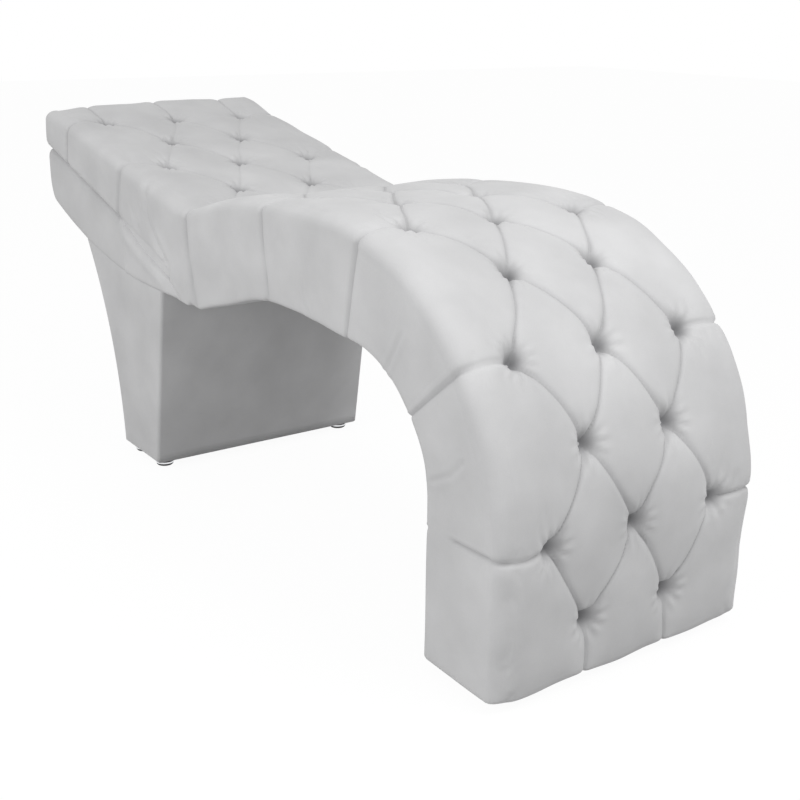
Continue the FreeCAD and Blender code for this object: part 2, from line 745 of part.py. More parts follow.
# The fixed body: three ribs, bent deck, arch skin, linings and covers.
FOOT_SCREW_INNER = 22.5
FOOT_SCREW_OUTER = 67.5
SCREW_BITE = 0.8
rib_top = size("pad_depth") + size("deck_thickness") + 2 * gap
rib_under = skins + gap
rib_shelf = skins + panel + 2 * gap
slit_x = -size("panel_slit_x")


def foot_board_span():
    """The foot board from its inner to its outer edge."""
    return under_start.x + skins + gap, size("foot_face_x") - size("foot_wrap") - gap


def foot_screw_spots():
    """Screws up through the foot board into the ribs."""
    low, high = foot_board_span()
    across = (-rib_face - ply / 2, 0, rib_face + ply / 2)
    return [Vector(x, y, floor_gap + size("screw_head_height"))
            for x in (low + FOOT_SCREW_INNER, high - FOOT_SCREW_OUTER) for y in across]


def rib_spans():
    """Each rib is cut in three: leg, seat and head, tied by the bent skins."""
    arch_end = under_start.x - size("arch_radius") - size("arch_crown_length")
    belly_end = -size("belly_low_x")
    reach = size("foot_face_x")
    return {
        "leg": (arch_end + gap / 2, reach),
        "seat": (belly_end + gap / 2, arch_end - gap / 2),
        "head": (-reach, belly_end - gap / 2),
    }


def make_frame():
    """Ribs with their screw holes, and the screws."""
    flat = body_face(rib_top, ply / 2, rib_shelf, rib_under, ply)
    up = Vector(0, 0, 1)
    rooms = [screw_hole(spot, up, size("screw_length")) for spot in foot_screw_spots()]
    for side in (-1, 1):
        bite = leaf + ply * SCREW_BITE
        rooms += [screw_hole(spot, Vector(0, side, 0), bite) for spot in tongue_screw_spots(side)]
    layers = {
        "frame_rib_near": (-inner_half, -rib_face),
        "frame_rib_middle": (-ply / 2, ply / 2),
        "frame_rib_far": (rib_face, inner_half),
    }
    tall = size("foot_face_x")
    for label, (low, high) in layers.items():
        rib = slab(flat, low, high).cut(rooms)
        for stretch, (begin, end) in rib_spans().items():
            room = Part.makeBox(end - begin, 2 * half_width, tall, Vector(begin, -half_width, 0))
            add(f"{label}_{stretch}", rib.common(room))
    tongue_screws = [wood_screw(spot, Vector(0, side, 0), leaf + ply * SCREW_BITE)
                     for side in (-1, 1) for spot in tongue_screw_spots(side)]
    add("hinge_base_screws", Part.makeCompound(tongue_screws))
    foot_screws = [wood_screw(spot, up, size("screw_length")) for spot in foot_screw_spots()]
    add("frame_screws", Part.makeCompound(foot_screws))


def make_battens():
    """Cross battens between the ribs, under the deck and under the lower head board."""
    width = size("batten_width")
    depth = size("batten_depth")
    places = []
    for row in (0, 2, 4, 6, 8):
        spot = crown.point(ROWS[row], rib_top)
        places.append((spot, crown.inward(ROWS[row])))
    for share in (0.3, 0.8):
        walked = shelf_begin + share * shelf_length
        places.append((under.point(walked, rib_shelf), under.inward(walked)))
    pieces = []
    for spot, inward in places:
        for low in (-rib_face, ply / 2):
            batten = Part.makeBox(width, rib_face - ply / 2, depth, Vector(-width / 2, 0, 0))
            batten.Placement = Placement(spot + Vector(0, low, 0), Rotation(ALL_Y, turn_about_y(inward)))
            pieces.append(batten)
    add("cross_battens", Part.makeCompound(pieces))


def turn_about_y(direction):
    """Degrees about +Y that turn +Z to a direction in the XZ plane."""
    return math.degrees(math.atan2(direction.x, direction.z))


def make_skins():
    """Deck, arch skin and arch lining as bent sheets."""
    slit_end = under_length_at(slit_x)
    lining = size("lining_thickness")
    pad = size("pad_depth")
    bands = {
        "deck_skin": band(crown, foot_lap, wave_end, pad + gap, pad + gap + size("deck_thickness")),
        "arch_skin": band(under, 0, slit_end, lining + gap, skins),
        "arch_lining": band(under, 0, slit_end, 0, lining),
    }
    for label, flat in bands.items():
        add(label, slab(flat, -inner_half, inner_half))


def make_covers():
    """Velvet on the sides, and the wrapped lower head panel."""
    outline = body_face(size("pad_depth") + gap, 0, 0, 0, 0)
    reach = size("foot_face_x") * 3
    head_room = Part.makeBox(reach, reach, reach, Vector(slit_x - gap - reach, -reach / 2, 0))
    foot_room = Part.makeBox(reach, reach, reach, Vector(slit_x, -reach / 2, 0))
    for name, low in (("near", -half_width), ("far", inner_half)):
        cover = slab(outline, 0, size("cover_thickness"))
        cover.translate(Vector(0, low, 0))
        add("side_cover_" + name, cover.common(foot_room))
    inside = body_face(rib_top, 0, skins, skins, 0)
    wrapped = slab(outline, -half_width, half_width).cut(slab(inside, -inner_half, inner_half))
    add("shelf_cover", wrapped.common(head_room))
    begin = under.point(shelf_begin, skins + gap)
    end = under.point(shelf_corner(wave_end - ply / 2, skins + gap), skins + gap)
    drop = under.inward(shelf_begin + 1) * panel
    add("shelf_board", slab(polygon([begin, end, end + drop, begin + drop]), -inner_half, inner_half))


def make_gussets():
    """Fabric gussets that close the sides of the fold over the hinges and crease as the back rises."""
    top = crown.run(wave_end + gap, back_begin - gap, size("fold_foam_depth") + gap)
    head_corner = under.point(shelf_corner(back_begin - gap, -gap), -gap)
    foot_corner = under.point(shelf_corner(wave_end + gap, -gap), -gap)
    flat = face(top + [straight(head_corner, foot_corner)])
    for name, low in (("near", -half_width), ("far", inner_half)):
        add("fold_gusset_" + name, slab(flat, low, low + size("cover_thickness")))


BUMPER_SPREAD = 0.65
BUMPER_SHARES = (0.4, 0.75)


def make_bumpers():
    """Rubber bumpers on the lower panel, which the back rests on."""
    length = size("slit") - gap
    radius = size("bumper_radius")
    spots = [on_back(plane_length * share, -shelf_drop, side * half_width * BUMPER_SPREAD)
             for share in BUMPER_SHARES for side in (-1, 1)]
    add("rest_bumpers", Part.makeCompound([rod(spot, off_board, radius, length) for spot in spots]))


# The pedestal: a box of ply sides and panels on a base board, in a velvet sleeve.
lean = rad("pedestal_lean")
pedestal_foot = -size("pedestal_foot_x")
pedestal_head = pedestal_foot - size("pedestal_depth")
pedestal_half = half_width - size("pedestal_inset")
flare_low = Vector(pedestal_head, 0, floor_gap)
flare_high = flare_low + Vector(-size("pedestal_flare_x"), 0, size("pedestal_flare_z"))


def pedestal_face(inset, lift):
    """The side outline of the pedestal, drawn in, and running up past the underside of the wave."""
    chord = flare_high - flare_low
    square = Vector(chord.z, 0, -chord.x).normalize()
    bow = size("pedestal_flare_bow")
    radius = (chord.Length ** 2 / 4 + bow ** 2) / (2 * bow)
    centre = (flare_low + flare_high) * 0.5 + square * (bow - radius)
    swept = radius + inset
    z_low = floor_gap + lift
    low = Vector(centre.x + math.sqrt(swept ** 2 - (z_low - centre.z) ** 2), 0, z_low)
    z_high = flare_high.z + inset
    high = Vector(centre.x + math.sqrt(swept ** 2 - (z_high - centre.z) ** 2), 0, z_high)
    half = centre + ((low + high) * 0.5 - centre).normalize() * swept
    foot_shift = -inset / math.cos(lean)
    foot_low = Vector(pedestal_foot + lift * math.tan(lean) + foot_shift, 0, z_low)
    foot_high = foot_low + Vector((z_high - z_low) * math.tan(lean), 0, z_high - z_low)
    flare = (low, high, Part.Arc(low, half, high).toShape())
    return face([flare, straight(foot_high, foot_low)])


def wave_room():
    """Everything above the underside of the wave, which the pedestal ends under."""
    edges = under.run(under_length_at(0), under_length_at(pedestal_head - size("pedestal_flare_z")), -gap)
    sky = size("foot_face_x")
    lid = straight(Vector(-2 * sky, 0, sky), Vector(0, 0, sky))
    return slab(face(edges + [lid]), -sky, sky)


def glide_spots():
    """Axes of the six glides on the floor."""
    across = half_width - size("glide_edge")
    rows = (
        pedestal_foot - size("glide_edge"),
        pedestal_head + size("glide_edge"),
        size("foot_face_x") - size("glide_front_edge"),
    )
    return [Vector(x, side * across, 0) for x in rows for side in (-1, 1)]


def make_pedestal():
    """Sleeve, sides, panels and top rails of the pedestal."""
    above = wave_room()
    cover = size("cover_thickness")
    side_outer = pedestal_half - cover
    side_inner = side_outer - ply
    room = slab(pedestal_face(cover, 0), -side_outer, side_outer)
    sleeve = slab(pedestal_face(0, 0), -pedestal_half, pedestal_half).cut(room)
    add("pedestal_cover", sleeve.cut(above))
    sides = pedestal_face(cover + gap, ply)
    for name, low in (("near", -side_outer), ("far", side_inner)):
        add("pedestal_side_" + name, slab(sides, low, low + ply).cut(above))
    ring = slab(sides, -side_inner, side_inner)
    hollow = slab(pedestal_face(cover + gap + panel, ply), -half_width, half_width)
    walls = ring.cut(hollow).cut(above)
    reach = size("foot_face_x")
    split = (pedestal_foot + pedestal_head) / 2
    foot_half = Part.makeBox(reach, 2 * reach, reach, Vector(split, -reach, 0))
    add("pedestal_inner_panel", walls.common(foot_half))
    add("pedestal_outer_panel", walls.cut(foot_half))
    rail = size("batten_depth")
    rail_top = under.point(under_length_at(pedestal_foot)).z - gap
    rail_bottom = rail_top - rail
    wall = (cover + panel + 2 * gap) / math.cos(lean)
    foot_x = pedestal_foot + (rail_bottom - floor_gap) * math.tan(lean) - wall
    width = size("batten_width")
    spots = [foot_x - width, split - size("pedestal_depth") / 4]
    rails = [Part.makeBox(width, 2 * side_inner, rail, Vector(x, -side_inner, rail_bottom)) for x in spots]
    add("pedestal_rails", Part.makeCompound(rails))


def make_base_board(label, low, high, half, spots):
    """A base board with a hole for each tee nut, made of expressions on the sheet where it can be."""
    board = doc.addObject("Part::Box", label + "_blank")
    bind(board, Height="sizes.ply_thickness", Placement__Base__z="sizes.floor_gap")
    board.Length = high - low
    board.Width = 2 * half
    board.Placement.Base = Vector(low, -half, floor_gap)
    holes = []
    for number, spot in enumerate(spots, start=1):
        hole = doc.addObject("Part::Cylinder", f"{label}_hole_{number}")
        bind(hole, Radius="sizes.nut_radius + sizes.running_clearance", Height="sizes.ply_thickness * 2")
        hole.Placement.Base = Vector(spot.x, spot.y, floor_gap - ply / 2)
        holes.append(hole)
    for number, spot in enumerate(screws_in(low, high), start=1):
        hole = doc.addObject("Part::Cylinder", f"{label}_screw_{number}")
        bind(hole, Radius="sizes.screw_head_radius + sizes.running_clearance",
             Height="sizes.screw_head_height")
        hole.Placement.Base = spot - Vector(0, 0, size("screw_head_height"))
        holes.append(hole)
        shank = doc.addObject("Part::Cylinder", f"{label}_shank_{number}")
        bind(shank, Radius="sizes.screw_radius + sizes.running_clearance", Height="sizes.ply_thickness")
        shank.Placement.Base = spot
        holes.append(shank)
    tools = doc.addObject("Part::MultiFuse", label + "_holes")
    tools.Shapes = holes
    cut = doc.addObject("Part::Cut", label)
    cut.Label = label
    cut.Base = board
    cut.Tool = tools
    nodes.append(cut)


def screws_in(low, high):
    """The frame screws that pass a base board."""
    return [spot for spot in foot_screw_spots() if low < spot.x < high]


def make_tee_nuts():
    """A flanged nut in the base boards over each glide."""
    nuts = []
    for spot in glide_spots():
        barrel = rod(spot + Vector(0, 0, floor_gap), Vector(0, 0, 1), size("nut_radius"), ply)
        flange = rod(spot + Vector(0, 0, floor_gap + ply), Vector(0, 0, 1),
                     size("nut_flange_radius"), size("nut_flange"))
        bore = rod(spot + Vector(0, 0, floor_gap - 1), Vector(0, 0, 1),
                   size("stem_radius") + size("running_clearance"), ply + size("nut_flange") + 2)
        nuts.append(barrel.fuse(flange).cut(bore).removeSplitter())
    add("tee_nuts", Part.makeCompound(nuts))


def turned_body(label, outline):
    """A body turned about its own upright axis from corners given as expressions (radius, height)."""
    body = doc.addObject("PartDesign::Body", label)
    body.Label = label
    sketch = body.newObject("Sketcher::SketchObject", label + "_sketch")
    plane = [item for item in body.Origin.OriginFeatures if item.Role == "XZ_Plane"][0]
    sketch.AttachmentSupport = [(plane, "")]
    sketch.MapMode = "FlatFace"
    values = [(sheet_value(radius), sheet_value(height)) for radius, height in outline]
    corners = [Vector(radius, height, 0) for radius, height in values]
    for a, b in zip(corners, corners[1:] + corners[:1]):
        sketch.addGeometry(Part.LineSegment(a, b), False)
    for number in range(len(corners)):
        sketch.addConstraint(Sketcher.Constraint("Coincident", number, 2, (number + 1) % len(corners), 1))
    for number, (radius, height) in enumerate(outline):
        for kind, text in (("DistanceX", radius), ("DistanceY", height)):
            if text == "0":
                axis = -2 if kind == "DistanceX" else -1
                sketch.addConstraint(Sketcher.Constraint("PointOnObject", number, 1, axis))
                continue
            index = sketch.addConstraint(Sketcher.Constraint(kind, -1, 1, number, 1, sheet_value(text)))
            sketch.setExpression(f"Constraints[{index}]", text)
    turned = body.newObject("PartDesign::Revolution", label + "_turned")
    turned.Profile = sketch
    turned.ReferenceAxis = (sketch, ["V_Axis"])
    turned.Angle = 360
    nodes.append(body)
    return body


def sheet_value(text):
    """The number that a sum of sheet cells stands for."""
    total = 0
    for term in text.replace("- ", "+ -").split("+ "):
        term = term.strip()
        sign = -1 if term.startswith("-") else 1
        term = term.lstrip("-").strip()
        factor = 1
        if " * " in term:
            term, multiple = term.split(" * ")
            factor = float(multiple)
        number = size(term.replace("sizes.", "")) if term.startswith("sizes.") else float(term)
        total += sign * number * factor
    return total


def make_glides():
    """Six levelling glides, each a bright cup with its stem, and a black sole."""
    for number, spot in enumerate(glide_spots(), start=1):
        rim = "sizes.glide_radius"
        sole_top = "sizes.glide_sole_height"
        cup_top = "sizes.floor_gap - sizes.seat_gap"
        stem = "sizes.stem_radius"
        stem_top = "sizes.floor_gap + sizes.stem_length"
        cup = turned_body(f"glide_{number}_cup", [
            ("0", sole_top),
            (rim, sole_top),
            (rim, "sizes.glide_sole_height + sizes.glide_sole_height * 0.6"),
            ("sizes.glide_radius * 0.7", cup_top),
            (stem, cup_top),
            (stem, stem_top),
            ("0", stem_top),
        ])
        cup.Placement = Placement(spot, Rotation())
        sole = turned_body(f"glide_{number}_sole", [
            ("0", "0"),
            ("sizes.glide_sole_radius * 0.9", "0"),
            ("sizes.glide_sole_radius", "sizes.glide_sole_height * 0.4"),
            ("sizes.glide_sole_radius", sole_top),
            ("0", sole_top),
        ])
        sole.Placement = Placement(spot, Rotation())


make_pads()
for hinge_name, hinge_side in (("near", -1), ("far", 1)):
    make_hinge(hinge_name, hinge_side)
make_back()
make_frame()
make_battens()
make_skins()
make_covers()
make_gussets()
make_bumpers()
make_pedestal()
pedestal_inner_half = pedestal_half - size("cover_thickness") - gap
make_base_board("pedestal_base_board", pedestal_head + size("cover_thickness") + gap,
                pedestal_foot - size("cover_thickness") - gap, pedestal_inner_half, glide_spots()[:4])
make_base_board("foot_base_board", *foot_board_span(), inner_half, glide_spots()[4:])
make_tee_nuts()
make_glides()

doc.recompute()
for item in doc.Objects:
    if "Invalid" in item.State or "Error" in item.State:
        raise RuntimeError(f"{item.Name} did not compute: {item.State}")
for node in nodes:
    if node.Shape.isNull() or not node.Shape.isValid() or node.Shape.Volume <= 0:
        raise RuntimeError(f"{node.Label} has no valid shape")
os.makedirs("parts", exist_ok=True)
for node in nodes:
    node.Shape.exportStep(f"parts/{node.Label}.step")
    box = node.Shape.BoundBox
    print(f"{node.Label:26s} solids {len(node.Shape.Solids):2d} volume {node.Shape.Volume / 1e3:9.1f} cm3 "
          f"x {box.XMin:7.1f} {box.XMax:7.1f} y {box.YMin:7.1f} {box.YMax:7.1f} "
          f"z {box.ZMin:6.1f} {box.ZMax:6.1f}")
print("nodes", len(nodes), "hinge", hinge, "pawl pivot", pawl_pivot)
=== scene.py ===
# %% Load the frame
import math

import bmesh
import bpy
import numpy as np
from mathutils import Matrix, Vector, noise


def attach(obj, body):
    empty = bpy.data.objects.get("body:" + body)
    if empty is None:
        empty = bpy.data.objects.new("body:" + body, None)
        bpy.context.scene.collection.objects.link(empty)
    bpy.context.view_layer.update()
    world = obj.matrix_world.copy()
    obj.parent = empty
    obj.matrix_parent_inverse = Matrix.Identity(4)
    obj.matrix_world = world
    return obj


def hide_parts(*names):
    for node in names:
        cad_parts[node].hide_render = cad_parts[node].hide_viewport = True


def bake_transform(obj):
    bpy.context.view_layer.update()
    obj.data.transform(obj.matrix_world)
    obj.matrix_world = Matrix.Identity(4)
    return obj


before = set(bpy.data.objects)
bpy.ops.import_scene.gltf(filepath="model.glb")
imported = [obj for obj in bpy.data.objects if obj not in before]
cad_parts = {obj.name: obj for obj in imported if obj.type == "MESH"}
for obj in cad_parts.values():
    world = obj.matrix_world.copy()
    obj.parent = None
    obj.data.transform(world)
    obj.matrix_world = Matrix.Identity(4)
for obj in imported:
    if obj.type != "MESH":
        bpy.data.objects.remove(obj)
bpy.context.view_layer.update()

# %% [markdown]
# The camera stands where the photographer stood: in front of the foot end, to the near side and a
# little above the bed. Its place was found by matching the rows of buttons, so it is written as numbers.

# %% Camera
CAMERA_SPOT = Vector((2.1495, -1.347, 1.060))
CAMERA_ANGLES = (54.62, 18.33, 0.753)
LENS_MM, SENSOR_MM = 54.29, 36
FAR_CLIP = 40
azimuth, elevation, roll = (math.radians(a) for a in CAMERA_ANGLES)
back = Vector((
    math.sin(azimuth) * math.cos(elevation),
    -math.cos(azimuth) * math.cos(elevation),
    math.sin(elevation),
))
level_right = (-back).cross(Vector((0, 0, 1))).normalized()
level_up = level_right.cross(-back).normalized()
right = level_right * math.cos(roll) + level_up * math.sin(roll)
up = level_up * math.cos(roll) - level_right * math.sin(roll)
camera = bpy.data.objects.new("camera", bpy.data.cameras.new("camera"))
bpy.context.scene.collection.objects.link(camera)
turn = Matrix((right, up, back)).transposed().to_4x4()
camera.matrix_world = Matrix.Translation(CAMERA_SPOT) @ turn
camera.data.lens = LENS_MM
camera.data.sensor_width = SENSOR_MM
camera.data.clip_end = FAR_CLIP
bpy.context.scene.camera = camera
print("camera at", [round(v, 3) for v in CAMERA_SPOT])

# %% [markdown]
# The bed is one long wave. Two guide lines in the side view hold its whole shape: the crown, which the
# tops of the tufts touch, and the underside. Each is a list of straight runs and bends, as an
# upholsterer's template would be, so that every cover can be laid along it.


# %% Guide lines
def bend(radius, degrees):
    """A run along an arc."""
    return (abs(radius * math.radians(degrees)), degrees)


class Guide:
    """A line in the side view, walked from its start: place and heading at each walked length."""

    def __init__(self, start, heading, runs, step=0.002):
        x, z = start
        rows = [(0.0, x, z, math.radians(heading))]
        walked = 0.0
        angle = math.radians(heading)
        for length, degrees in runs:
            count = max(2, math.ceil(length / step))
            for _ in range(count):
                middle = angle + math.radians(degrees) / count / 2
                x += math.cos(middle) * length / count
                z += math.sin(middle) * length / count
                angle += math.radians(degrees) / count
                walked += length / count
                rows.append((walked, x, z, angle))
        self.walked, self.x, self.z, self.heading = np.array(rows).T
        self.length = walked

    def at(self, walked):
        """Point and inward direction, to the left of the walk, at walked lengths."""
        x = np.interp(walked, self.walked, self.x)
        z = np.interp(walked, self.walked, self.z)
        angle = np.interp(walked, self.walked, self.heading)
        return np.stack([x, z], -1), np.stack([-np.sin(angle), np.cos(angle)], -1)


HALF_WIDTH = 0.2822
FLOOR_GAP = 0.018
crown = Guide((0.910, FLOOR_GAP), 90, [
    (0.232, 0), bend(0.450, 68), bend(0.600, 22), (0.069, 0),
    bend(1.500, 16), bend(0.200, -27.2), (0.738, 0),
])
BOARD_SLOPE = 15.23
under = Guide((0.727, FLOOR_GAP), 90, [
    (0.282, 0), bend(0.230, 90), (0.232, 0), bend(0.450, 17.5), (0.205, 0), bend(0.020, -17.5),
    (0.245, 0), bend(1.473, -22.6), bend(0.040, -67.4), (0.0087, 0),
    bend(0.070, -90 - BOARD_SLOPE), (0.640, 0),
])
print("crown", round(crown.length, 4), "underside", round(under.length, 4))

# %% [markdown]
# Deep buttoning follows a plain layout: rows of two and three buttons in turn, and a folded pleat from
# each button to its neighbours in the next rows. At the outer buttons of a row of three, the pleat runs
# straight out over the edge and down the side. The layout is kept as points and lines on the unrolled
# cover: one number along the bed and one across it.

# %% Tuft layout
FOLD = 1.5863
PITCH = 0.184
FIRST_ROW = 0.097
LEG_STEP = 0.149
BACK_STEP = 0.174
FOLD_MARGIN = 0.060
PAST_END = 0.060
LEG_COUNT, SEAT_COUNT, BACK_COUNT = 4, 6, 4
leg_rows = [FIRST_ROW + LEG_STEP * i for i in range(LEG_COUNT)]
valley_row = FOLD - FOLD_MARGIN
seat_step = (valley_row - leg_rows[-1]) / SEAT_COUNT
seat_rows = [leg_rows[-1] + seat_step * (i + 1) for i in range(SEAT_COUNT)]
back_rows = [FOLD + FOLD_MARGIN + BACK_STEP * i for i in range(BACK_COUNT)]
ROWS = leg_rows + seat_rows + back_rows


def buttons_in(row):
    """Places across the bed of the buttons of one row."""
    return [-PITCH, 0.0, PITCH] if row % 2 else [-PITCH / 2, PITCH / 2]


buttons = [(along, across) for row, along in enumerate(ROWS) for across in buttons_in(row)]
pleats = []
for row, along in enumerate(ROWS[:-1]):
    following = buttons_in(row + 1)
    for a in buttons_in(row):
        pleats += [(along, a, ROWS[row + 1], b) for b in following if abs(a - b) < 0.6 * PITCH]
pleats += [(ROWS[0], a, -PAST_END, a) for a in buttons_in(0)]
pleats += [(ROWS[-1], a, crown.length + PAST_END, a) for a in buttons_in(len(ROWS) - 1)]
print("buttons", len(buttons), "pleats", len(pleats))

# %% Pleats over the edges and down the sides
SLIT_ALONG = 1.862
SLIT_ROW = len(ROWS) - 3
SLIT_MARGIN = 0.006
EDGE_ACROSS = 0.282
SIDE_ACROSS = 0.350
HEM_ACROSS, FIRST_HEM_ACROSS = 0.520, 0.390
SEAT_LEAN = 0.014
edge_pleats = []
side_pleats = []
for row in range(1, len(ROWS), 2):
    down = SLIT_ALONG - SLIT_MARGIN if row == SLIT_ROW else ROWS[row]
    lean = SEAT_LEAN if 5 < row < SLIT_ROW else 0.0
    hem = FIRST_HEM_ACROSS if row == 1 else HEM_ACROSS
    for side in (-1, 1):
        edge_pleats.append((ROWS[row], side * PITCH, down, side * EDGE_ACROSS))
        side_pleats.append((down, side * EDGE_ACROSS, down, side * SIDE_ACROSS))
        side_pleats.append((down, side * SIDE_ACROSS, down - lean, side * hem))
print("edge pleats", len(edge_pleats), "side pleats", len(side_pleats))

# %% Distances on the unrolled cover
FAR_AWAY = 9.0


def to_lines(lines, along, across):
    """Distance of points on the unrolled cover from the nearest of some lines."""
    nearest = np.full(along.shape, FAR_AWAY)
    for s1, w1, s2, w2 in lines:
        ds, dw = s2 - s1, w2 - w1
        share = np.clip(((along - s1) * ds + (across - w1) * dw) / (ds * ds + dw * dw), 0, 1)
        nearest = np.minimum(nearest, np.hypot(along - s1 - share * ds, across - w1 - share * dw))
    return nearest


def to_buttons(along, across):
    """Distance from the nearest button, the direction to it and its number."""
    nearest = np.full(along.shape, FAR_AWAY)
    angle = np.zeros(along.shape)
    number = np.zeros(along.shape)
    for i, (s1, w1) in enumerate(buttons):
        away = np.hypot(along - s1, across - w1)
        angle = np.where(away < nearest, np.arctan2(across - w1, along - s1), angle)
        number = np.where(away < nearest, i, number)
        nearest = np.minimum(nearest, away)
    return nearest, angle, number


def ease(value, first, last):
    """Smooth change from 0 at first to 1 at last."""
    share = np.clip((value - first) / (last - first), 0, 1)
    return share * share * (3 - 2 * share)


def swell(distance, reach):
    """Rise of a stuffed puff from its pleat: steep at the pleat, flat at the top."""
    share = np.clip(distance / reach, 0, 1)
    return np.sqrt(1 - (1 - share) ** 2)


# %% [markdown]
# The main cover is one closed skin around the foam: top, rounded edges, both sides and the lining
# below. It starts as a flat grid. One way of the grid runs along the crown from the foot to the head,
# the other runs round the section, and each grid point is then moved to its place on the wave. Below
# the fold the side ends at a slanting crease, which the gusset makes, and behind that at the open slit.

# %% Depth of the cover below the crown
BACK_BEGIN = FOLD + 0.036
PAD_AT_FOLD, PAD_AT_HEAD = 0.122, 0.073
BOARD_AND_LINING = 0.0168
LEAST_DEPTH = 0.02
PARALLEL = 1e-9
underside = np.stack([under.x, under.z], -1)


def depth_along_rays(walked, line):
    """Length of the rays from the crown inwards to a line in the side view, far away if they miss it."""
    start, inward = crown.at(np.atleast_1d(walked))
    first, step = line[:-1], np.diff(line, axis=0)
    depths = []
    for point, ray in zip(start, inward):
        cross = ray[0] * step[:, 1] - ray[1] * step[:, 0]
        cross = np.where(np.abs(cross) < PARALLEL, PARALLEL, cross)
        gap = first - point
        reach = (gap[:, 0] * step[:, 1] - gap[:, 1] * step[:, 0]) / cross
        share = (gap[:, 0] * ray[1] - gap[:, 1] * ray[0]) / cross
        hit = (reach > LEAST_DEPTH) & (share >= 0) & (share <= 1)
        depths.append(reach[hit].min() if hit.any() else FAR_AWAY)
    return np.array(depths)


def back_pad_depth(walked):
    """Depth of the back pad with its board and lining."""
    share = (walked - BACK_BEGIN) / (crown.length - BACK_BEGIN)
    return PAD_AT_FOLD + (PAD_AT_HEAD - PAD_AT_FOLD) * share + BOARD_AND_LINING


(slit_start,), (slit_inward,) = crown.at(np.array([SLIT_ALONG]))
slit_end = slit_start + slit_inward * back_pad_depth(SLIT_ALONG)
crease_points = [(-0.140, 0.442), (-0.205, 0.481), (-0.314, 0.515), (-0.381, 0.540)]
crease = np.array(crease_points + [tuple(slit_end)])


def cover_depth(walked):
    """Depth of the side of the cover: to the underside, to the crease, then along the slit."""
    seat = depth_along_rays(np.minimum(walked, SLIT_ALONG), underside)
    fold = depth_along_rays(np.minimum(walked, SLIT_ALONG), crease)
    arch_slack = 0.012 * ease(walked, 0.40, 0.60) * ease(walked, 1.10, 0.85)
    seat_slack = 0.004 * ease(walked, 0.60, 0.90) * ease(walked, 1.50, 1.35)
    side = np.minimum(seat + (arch_slack + seat_slack), fold)
    return np.where(walked < SLIT_ALONG, side, back_pad_depth(walked))


print("slit ends at", np.round(slit_end, 4), "depth there", round(float(back_pad_depth(SLIT_ALONG)), 4))

# %% Section of the cover
COLUMN = PITCH / 56
TOP_COLUMNS = 79
TOP_EDGE = HALF_WIDTH - TOP_COLUMNS * COLUMN
LOWER_EDGE = 0.008
LINING_STEPS, LOWER_STEPS, SIDE_STEPS, EDGE_STEPS = 4, 3, 22, 6


def half_section(depth, lower_edge):
    """Near half of the section from the middle of the lining up to the edge of the top: place across,
    depth, and the outward direction across and in depth."""
    flat = HALF_WIDTH - lower_edge
    rows = [(-flat * i / LINING_STEPS, depth, 0, 1) for i in range(LINING_STEPS)]
    for i in range(LOWER_STEPS):
        a = math.pi / 2 * i / LOWER_STEPS
        low = depth - lower_edge * (1 - math.cos(a))
        rows.append((-flat - lower_edge * math.sin(a), low, -math.sin(a), math.cos(a)))
    low, high = depth - lower_edge, TOP_EDGE
    rows += [(-HALF_WIDTH, low + (high - low) * i / SIDE_STEPS, -1, 0) for i in range(SIDE_STEPS)]
    flat = HALF_WIDTH - TOP_EDGE
    for i in range(EDGE_STEPS):
        a = math.pi / 2 * i / EDGE_STEPS
        y = -flat - TOP_EDGE * math.cos(a)
        rows.append((y, TOP_EDGE * (1 - math.sin(a)), -math.cos(a), -math.sin(a)))
    return rows


def section(depth, lower_edge=LOWER_EDGE):
    """The whole section, closed at the middle of the lining, as columns."""
    near = half_section(depth, lower_edge)
    top = [(COLUMN * i, 0, 0, -1) for i in range(-TOP_COLUMNS, TOP_COLUMNS + 1)]
    far = [(-y, d, -ny, nd) for y, d, ny, nd in reversed(near)]
    return np.array(near + top + far)


AROUND = len(section(depth=0.2)) - 1
print("points round the section", AROUND, "edge radius", round(TOP_EDGE, 4))

# %% [markdown]
# The grid is set out so that the pleats run through its points: 28 steps from each row of buttons to the
# next, and 28 steps across from each line of buttons to the next. A fold that ran between the points
# would come out ragged.

# %% Rows of the cover
FOOT_ROUND = 0.009
HEAD_ROUND = 0.016
ROW_STEPS, FOOT_STEPS, HEAD_STEPS = 28, 18, 24
FOOT_CAP_ROWS, HEAD_CAP_ROWS = 12, 5
CORNER_STEPS = 6
CAP_GAP = 0.001


def end_rows(radius, depth, cap_rows):
    """Walked length from the end, inset and share of the end's own direction: flat cap, then corner."""
    cap = depth / 2 - CAP_GAP
    made = [(0.0, inset, 1.0) for inset in np.linspace(cap, radius, cap_rows)[:-1]]
    for i in range(CORNER_STEPS):
        a = math.pi / 2 * i / CORNER_STEPS
        made.append((radius * (1 - math.cos(a)), radius * (1 - math.sin(a)), math.cos(a)))
    return made


def cover_rows():
    """Walked length, inset of the section and share of the end's own direction for each row."""
    marks = [FOOT_ROUND] + ROWS + [crown.length - HEAD_ROUND]
    counts = [FOOT_STEPS] + [ROW_STEPS] * (len(ROWS) - 1) + [HEAD_STEPS]
    body = []
    for first, last, count in zip(marks[:-1], marks[1:], counts):
        body += [(s, 0.0, 0.0) for s in np.linspace(first, last, count + 1)[:-1]]
    body.append((marks[-1], 0.0, 0.0))
    foot_cap = end_rows(FOOT_ROUND, float(cover_depth(np.zeros(1))[0]), FOOT_CAP_ROWS)
    foot = [(s, inset, -end) for s, inset, end in foot_cap]
    head_cap = end_rows(HEAD_ROUND, back_pad_depth(crown.length), HEAD_CAP_ROWS)
    head = [(crown.length - s, inset, end) for s, inset, end in reversed(head_cap)]
    return np.array(foot + body + head)


rows = cover_rows()
print("rows along the cover", len(rows))

